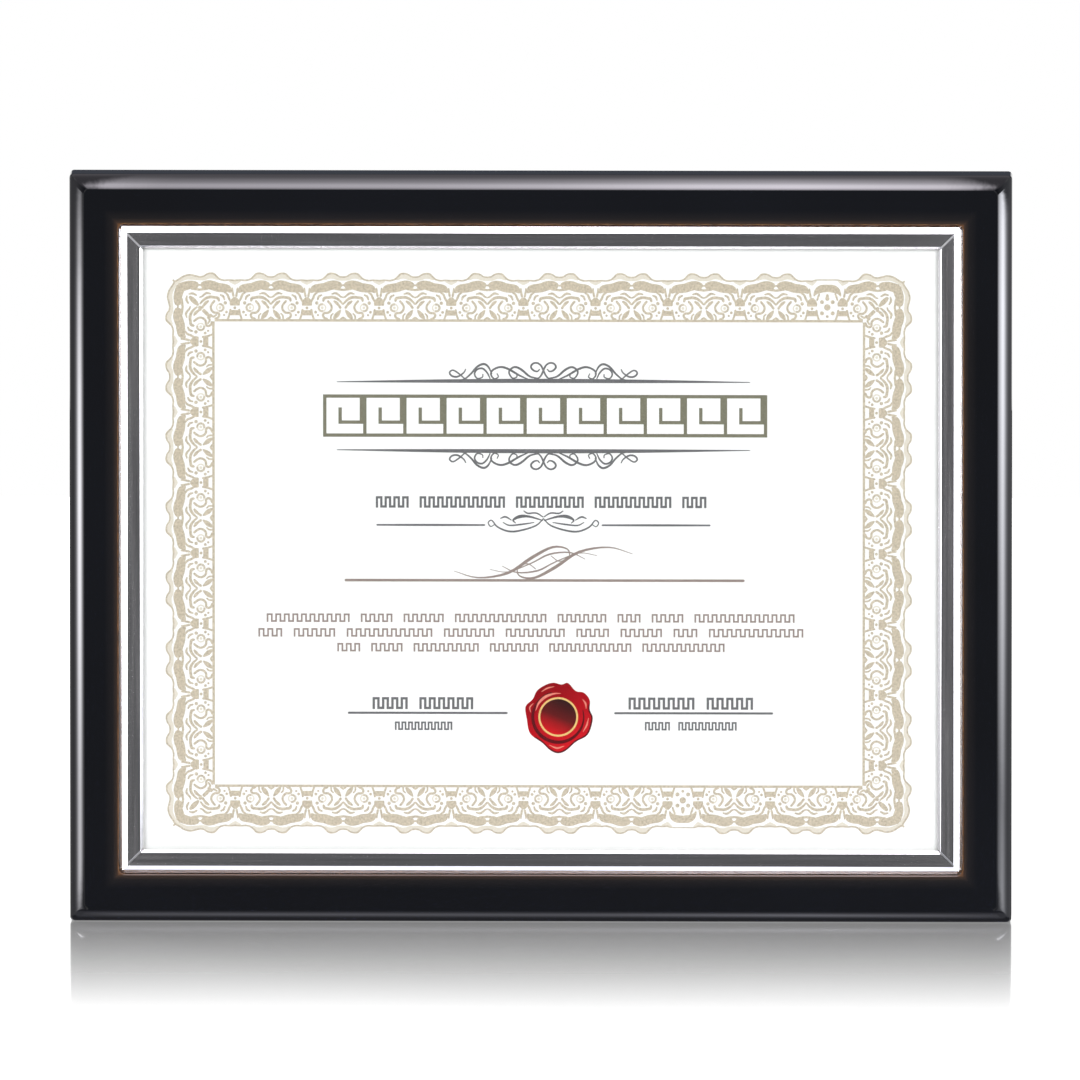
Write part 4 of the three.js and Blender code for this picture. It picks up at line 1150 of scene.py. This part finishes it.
FOOT_GLOW = [(-22, .15), (-31, .28), (-39, .6), (-48, 1.1), (-57, 1.5), (-66, 1.15), (-76, .64), (-87, .3),
             (-99, .16), (-150, .1)]
LEFT_HEIGHTS = [(-1, .08), (-.207, .1), (-.191, .5), (-.162, .54), (-.09, .92), (-.05, 1), (-.014, .88),
                (.025, .6), (.042, .37), (.06, .2), (.07, 0), (1.9, 0)]
RIGHT_HEIGHTS = [(-1, .05), (-.207, .06), (-.197, .24), (-.162, .18), (-.09, .52), (-.014, .9), (.023, 1),
                 (.051, .95), (.061, .82), (.066, .3), (.068, 0), (1.9, 0)]
TOP_REACH = [(-1.2, 0), (-.194, 0), (-.184, .92), (-.164, .72), (-.075, .82), (-.022, 1), (.037, 1.35),
             (.074, 1.43), (.13, 1.2), (.14, .85), (.149, 0), (1.2, 0)]
FOOT_REACH = [(-1.2, 0), (-.172, 0), (-.156, .7), (-.12, .95), (0, 1), (.085, 1.8), (.13, 1.1), (.15, .4),
              (.165, 0), (1.2, 0)]
FOOT_RADIUS = 0.6
TOP_TAPER = 0.012  # how much shorter the top strip is a right angle further up
TAPER_START = 25  # degrees
AROUND = 0.55  # brightness between the strips
AROUND_START = 60  # degrees from the front where it is reached
# Dark cards: bent ones in front and below, a flat one behind, and one that hides the sheet from the floor
FLAG_RADIUS = 1.35
FRONT_FLAG = [(-8.6, .15), (6.8, .15)]
FRONT_HEIGHTS = [(-.75, 1), (.23, 1)]
LOW_FLAG = [(141, .12), (160, .08), (200, .08), (220, .12)]
LOW_HEIGHTS = [(-.5, 1), (-.02, 1)]
BEHIND_FLAG = (1, 1.45, .3, 1.1, .1)  # half width, depth, lower and upper edge, brightness
MIRROR_FLAG = (BOARD_WIDTH / 2 - FRONT_ROUND, FRONT - .003, .012, .25, .01)


def card(name, rows, tint=(1, 1, 1), one_sided=False):
    """A card that only reflections see: rows of (place, brightness); one-sided is clear from behind."""
    mesh = bpy.data.meshes.new(name)
    wide = len(rows[0])
    faces = [(i * wide + j, i * wide + j + 1, (i + 1) * wide + j + 1, (i + 1) * wide + j)
             for i in range(len(rows) - 1) for j in range(wide - 1)]
    mesh.from_pydata([place for row in rows for place, _ in row], [], faces)
    level = mesh.attributes.new("level", "FLOAT", "POINT")
    level.data.foreach_set("value", [brightness for row in rows for _, brightness in row])
    made, tree, surface = open_material(name)
    made.cycles.emission_sampling = "NONE"
    read = add_node(tree, "Attribute", attribute_name="level")
    glow = add_node(tree, "Emission", {"Color": (*tint, 1), "Strength": read.outputs["Fac"]}).outputs[0]
    if one_sided:
        behind = add_node(tree, "NewGeometry").outputs["Backfacing"]
        glow = mix_shaders(tree, behind, glow, add_node(tree, "BsdfTransparent").outputs["BSDF"])
    tree.links.new(glow, surface)
    mesh.materials.append(made)
    piece = add_object(name, mesh)
    piece.visible_camera = False
    piece.visible_diffuse = False
    piece.visible_shadow = False
    piece.visible_transmission = False


def flat_card(name, half, depth, low, high, level, tint=(1, 1, 1), one_sided=False):
    """An upright card as wide on both sides of the middle."""
    rows = [[((x, depth, z), level) for x in (-half, half)] for z in (low, high)]
    card(name, rows, tint, one_sided)


def side_card(name, stops, heights, radius=CARD_RADIUS, tint=(1, 1, 1)):
    """An upright card bent round the object: stops are (degrees, brightness), heights (z, share of it)."""
    rows = []
    for azimuth, level in stops:
        x, y = radius * math.sin(math.radians(azimuth)), -radius * math.cos(math.radians(azimuth))
        around = min(level, AROUND * min(1, abs(azimuth) / AROUND_START))
        rows.append([((x, y, z), around + (level - around) * share) for z, share in heights])
    card(name, rows, tint)


def arch_card(name, stops, reach, base=BOARD_HEIGHT, radius=CARD_RADIUS, tint=(1, 1, 1), taper=0.0):
    """A card bent over or under the object round the height base: stops are (elevation in degrees from the
    front, brightness), reach (x, share of it)."""
    rows = []
    for elevation, level in stops:
        angle = math.radians(elevation)
        y, z = -radius * math.cos(angle), base + radius * math.sin(angle)
        around = min(level, AROUND)
        shorter = taper * (elevation - TAPER_START) / 90
        rows.append([((x - math.copysign(shorter, x), y, z), around + (level - around) * share)
                     for x, share in reach])
    card(name, rows, tint)


def lamp(name, place, size, power):
    data = bpy.data.lights.new(name, "AREA")
    data.shape = "DISK"
    data.size = size
    data.energy = power
    made = add_object(name, data)
    made.location = place
    made.rotation_euler = (Vector(LAMP_AIM) - Vector(place)).to_track_quat("-Z", "Y").to_euler()
    made.visible_camera = False
    made.visible_glossy = False


def seen_rays(tree):
    """1 where the white background shows: to the camera, in reflections and through clear pieces."""
    path = add_node(tree, "LightPath").outputs
    seen = calculate(tree, "MAXIMUM", path["Is Camera Ray"], path["Is Glossy Ray"])
    return calculate(tree, "MAXIMUM", seen, path["Is Transmission Ray"])


def build_floor():
    """White floor that shows the object's shadow and, in front of it, a mirror image that fades out."""
    mesh = bpy.data.meshes.new("floor")
    mesh.from_pydata(FLOOR_CORNERS, [], [(0, 1, 2, 3)])
    made, tree, surface = open_material("white_floor")
    matt = add_node(tree, "BsdfDiffuse", {"Color": FLOOR_GREY})
    glow = add_node(tree, "Emission", {"Strength": seen_rays(tree)})
    white = add_node(tree, "AddShader", {0: matt.outputs["BSDF"], 1: glow.outputs["Emission"]})
    mirror = add_node(tree, "BsdfGlossy", {"Color": (1, 1, 1, 1), "Roughness": MIRROR_ROUGHNESS})
    place = parts_of(tree, object_place(tree))
    away = calculate(tree, "POWER", map_range(tree, place["Y"], FRONT, FRONT - MIRROR_REACH), MIRROR_FADE)
    share = map_range(tree, away, 0.0, 1.0, MIRROR_SHARE, 0.0)
    in_front = calculate(tree, "LESS_THAN", place["Y"], FRONT + BOARD_DEPTH / 2)
    side = BOARD_WIDTH / 2
    beside = map_range(tree, calculate(tree, "ABSOLUTE", place["X"]), side, side + MIRROR_SIDE, 1.0, 0.0)
    share = calculate(tree, "MULTIPLY", calculate(tree, "MULTIPLY", share, in_front), beside)
    tree.links.new(mix_shaders(tree, share, white.outputs["Shader"], mirror.outputs["BSDF"]), surface)
    mesh.materials.append(made)
    floor = add_object("floor", mesh)
    floor.visible_glossy = False


def build_world():
    world = bpy.data.worlds.new("studio")
    bpy.context.scene.world = world
    world.use_nodes = True
    tree = world.node_tree
    level = map_range(tree, seen_rays(tree), 0.0, 1.0, WORLD_LIGHT, 1.0)
    feed(tree, tree.nodes["Background"], {"Color": (1, 1, 1, 1), "Strength": level})


def build_studio():
    build_world()
    build_floor()
    side_card("left_strip", LEFT_GLOW, LEFT_HEIGHTS, tint=(.96, .95, 1))
    side_card("right_strip", RIGHT_GLOW, RIGHT_HEIGHTS, tint=(.96, .97, 1.04))
    arch_card("top_strip", TOP_GLOW, TOP_REACH, tint=(1, .95, 1.04), taper=TOP_TAPER)
    arch_card("foot_strip", FOOT_GLOW, FOOT_REACH, 0.0, FOOT_RADIUS, (.96, .96, 1.08))
    side_card("front_flag", FRONT_FLAG, FRONT_HEIGHTS, FLAG_RADIUS, (.95, .98, 1.06))
    flat_card("behind_flag", *BEHIND_FLAG, (.85, .93, 1.15))
    side_card("low_flag", LOW_FLAG, LOW_HEIGHTS)
    flat_card("mirror_flag", *MIRROR_FLAG, one_sided=True)
    for values in LAMPS:
        lamp(*values)


def build_camera():
    data = bpy.data.cameras.new("camera")
    data.sensor_width = SENSOR
    data.lens = SENSOR * CAMERA_DISTANCE / VIEW_WIDTH
    data.clip_end = CAMERA_CLIP
    made = add_object("camera", data)
    azimuth, height = math.radians(CAMERA_AZIMUTH), math.radians(CAMERA_HEIGHT)
    level = math.cos(height)
    away = Vector((math.sin(azimuth) * level, -math.cos(azimuth) * level, math.sin(height)))
    made.location = Vector(AIM) + away * CAMERA_DISTANCE
    made.rotation_euler = (-away).to_track_quat("-Z", "Y").to_euler()
    bpy.context.scene.camera = made


build_camera()
build_board(lacquer(), painted_edge_reflection())
shine = polished_metal()
for stretch, sides in (((0.02, 1, 1), ("top", "bottom")), ((1, 1, 0.02), ("left", "right"))):
    for side in sides:
        build_rail(side, shine, brushed_metal(f"trim_brushed_{side}", stretch))
for node, material in (
    ("clear_lens", acrylic()),
    ("certificate", fibrous("certificate_stock", (0.93, 0.925, 0.915), (0.955, 0.95, 0.942), 600, 0.8)),
    ("backing_card", fibrous("grey_card", (0.6, 0.57, 0.49), (0.72, 0.69, 0.6), 300, 0.9)),
):
    for slot in frame["nodes"][node].material_slots:
        slot.material = material
build_print({
    "tan": ink("ink_tan", (0.56, 0.49, 0.38), 0.22),
    "pale_tan": ink("ink_pale_tan", (0.74, 0.69, 0.6), 0.04),
    "olive": ink("ink_olive", (0.2, 0.194, 0.14)),
    "grey": ink("ink_grey", (0.15, 0.15, 0.155)),
    "brown": ink("ink_brown", (0.3, 0.24, 0.215)),
    "gold": ink("ink_gold", (0.76, 0.52, 0.19)),
    "wax": wax("ink_wax", (0.35, 0, -0.94),
               [(0.0, (0.24, 0.003, 0.007)), (0.5, (0.42, 0.005, 0.011)), (1.0, (0.6, 0.009, 0.016))]),
    "wax_dark": ink("ink_wax_dark", (0.1, 0.003, 0.006)),
    "wax_light": ink("ink_wax_light", (0.74, 0.24, 0.18)),
    "wax_middle": wax("ink_wax_middle", (-0.4, 0, -0.92),
                      [(0.28, (0.03, 0.008, 0.008)), (0.5, (0.11, 0.009, 0.009)),
                       (0.74, (0.58, 0.009, 0.014))]),
})
build_back({
    "zinc": plated("zinc_plate", (0.46, 0.47, 0.49), (0.62, 0.63, 0.64), 0.34),
    "nickel": plated("nickel_plate", (0.58, 0.57, 0.54), (0.72, 0.71, 0.68), 0.2),
    "board": faced_board(),
})
build_studio()
bpy.context.scene.view_settings.view_transform = "Standard"
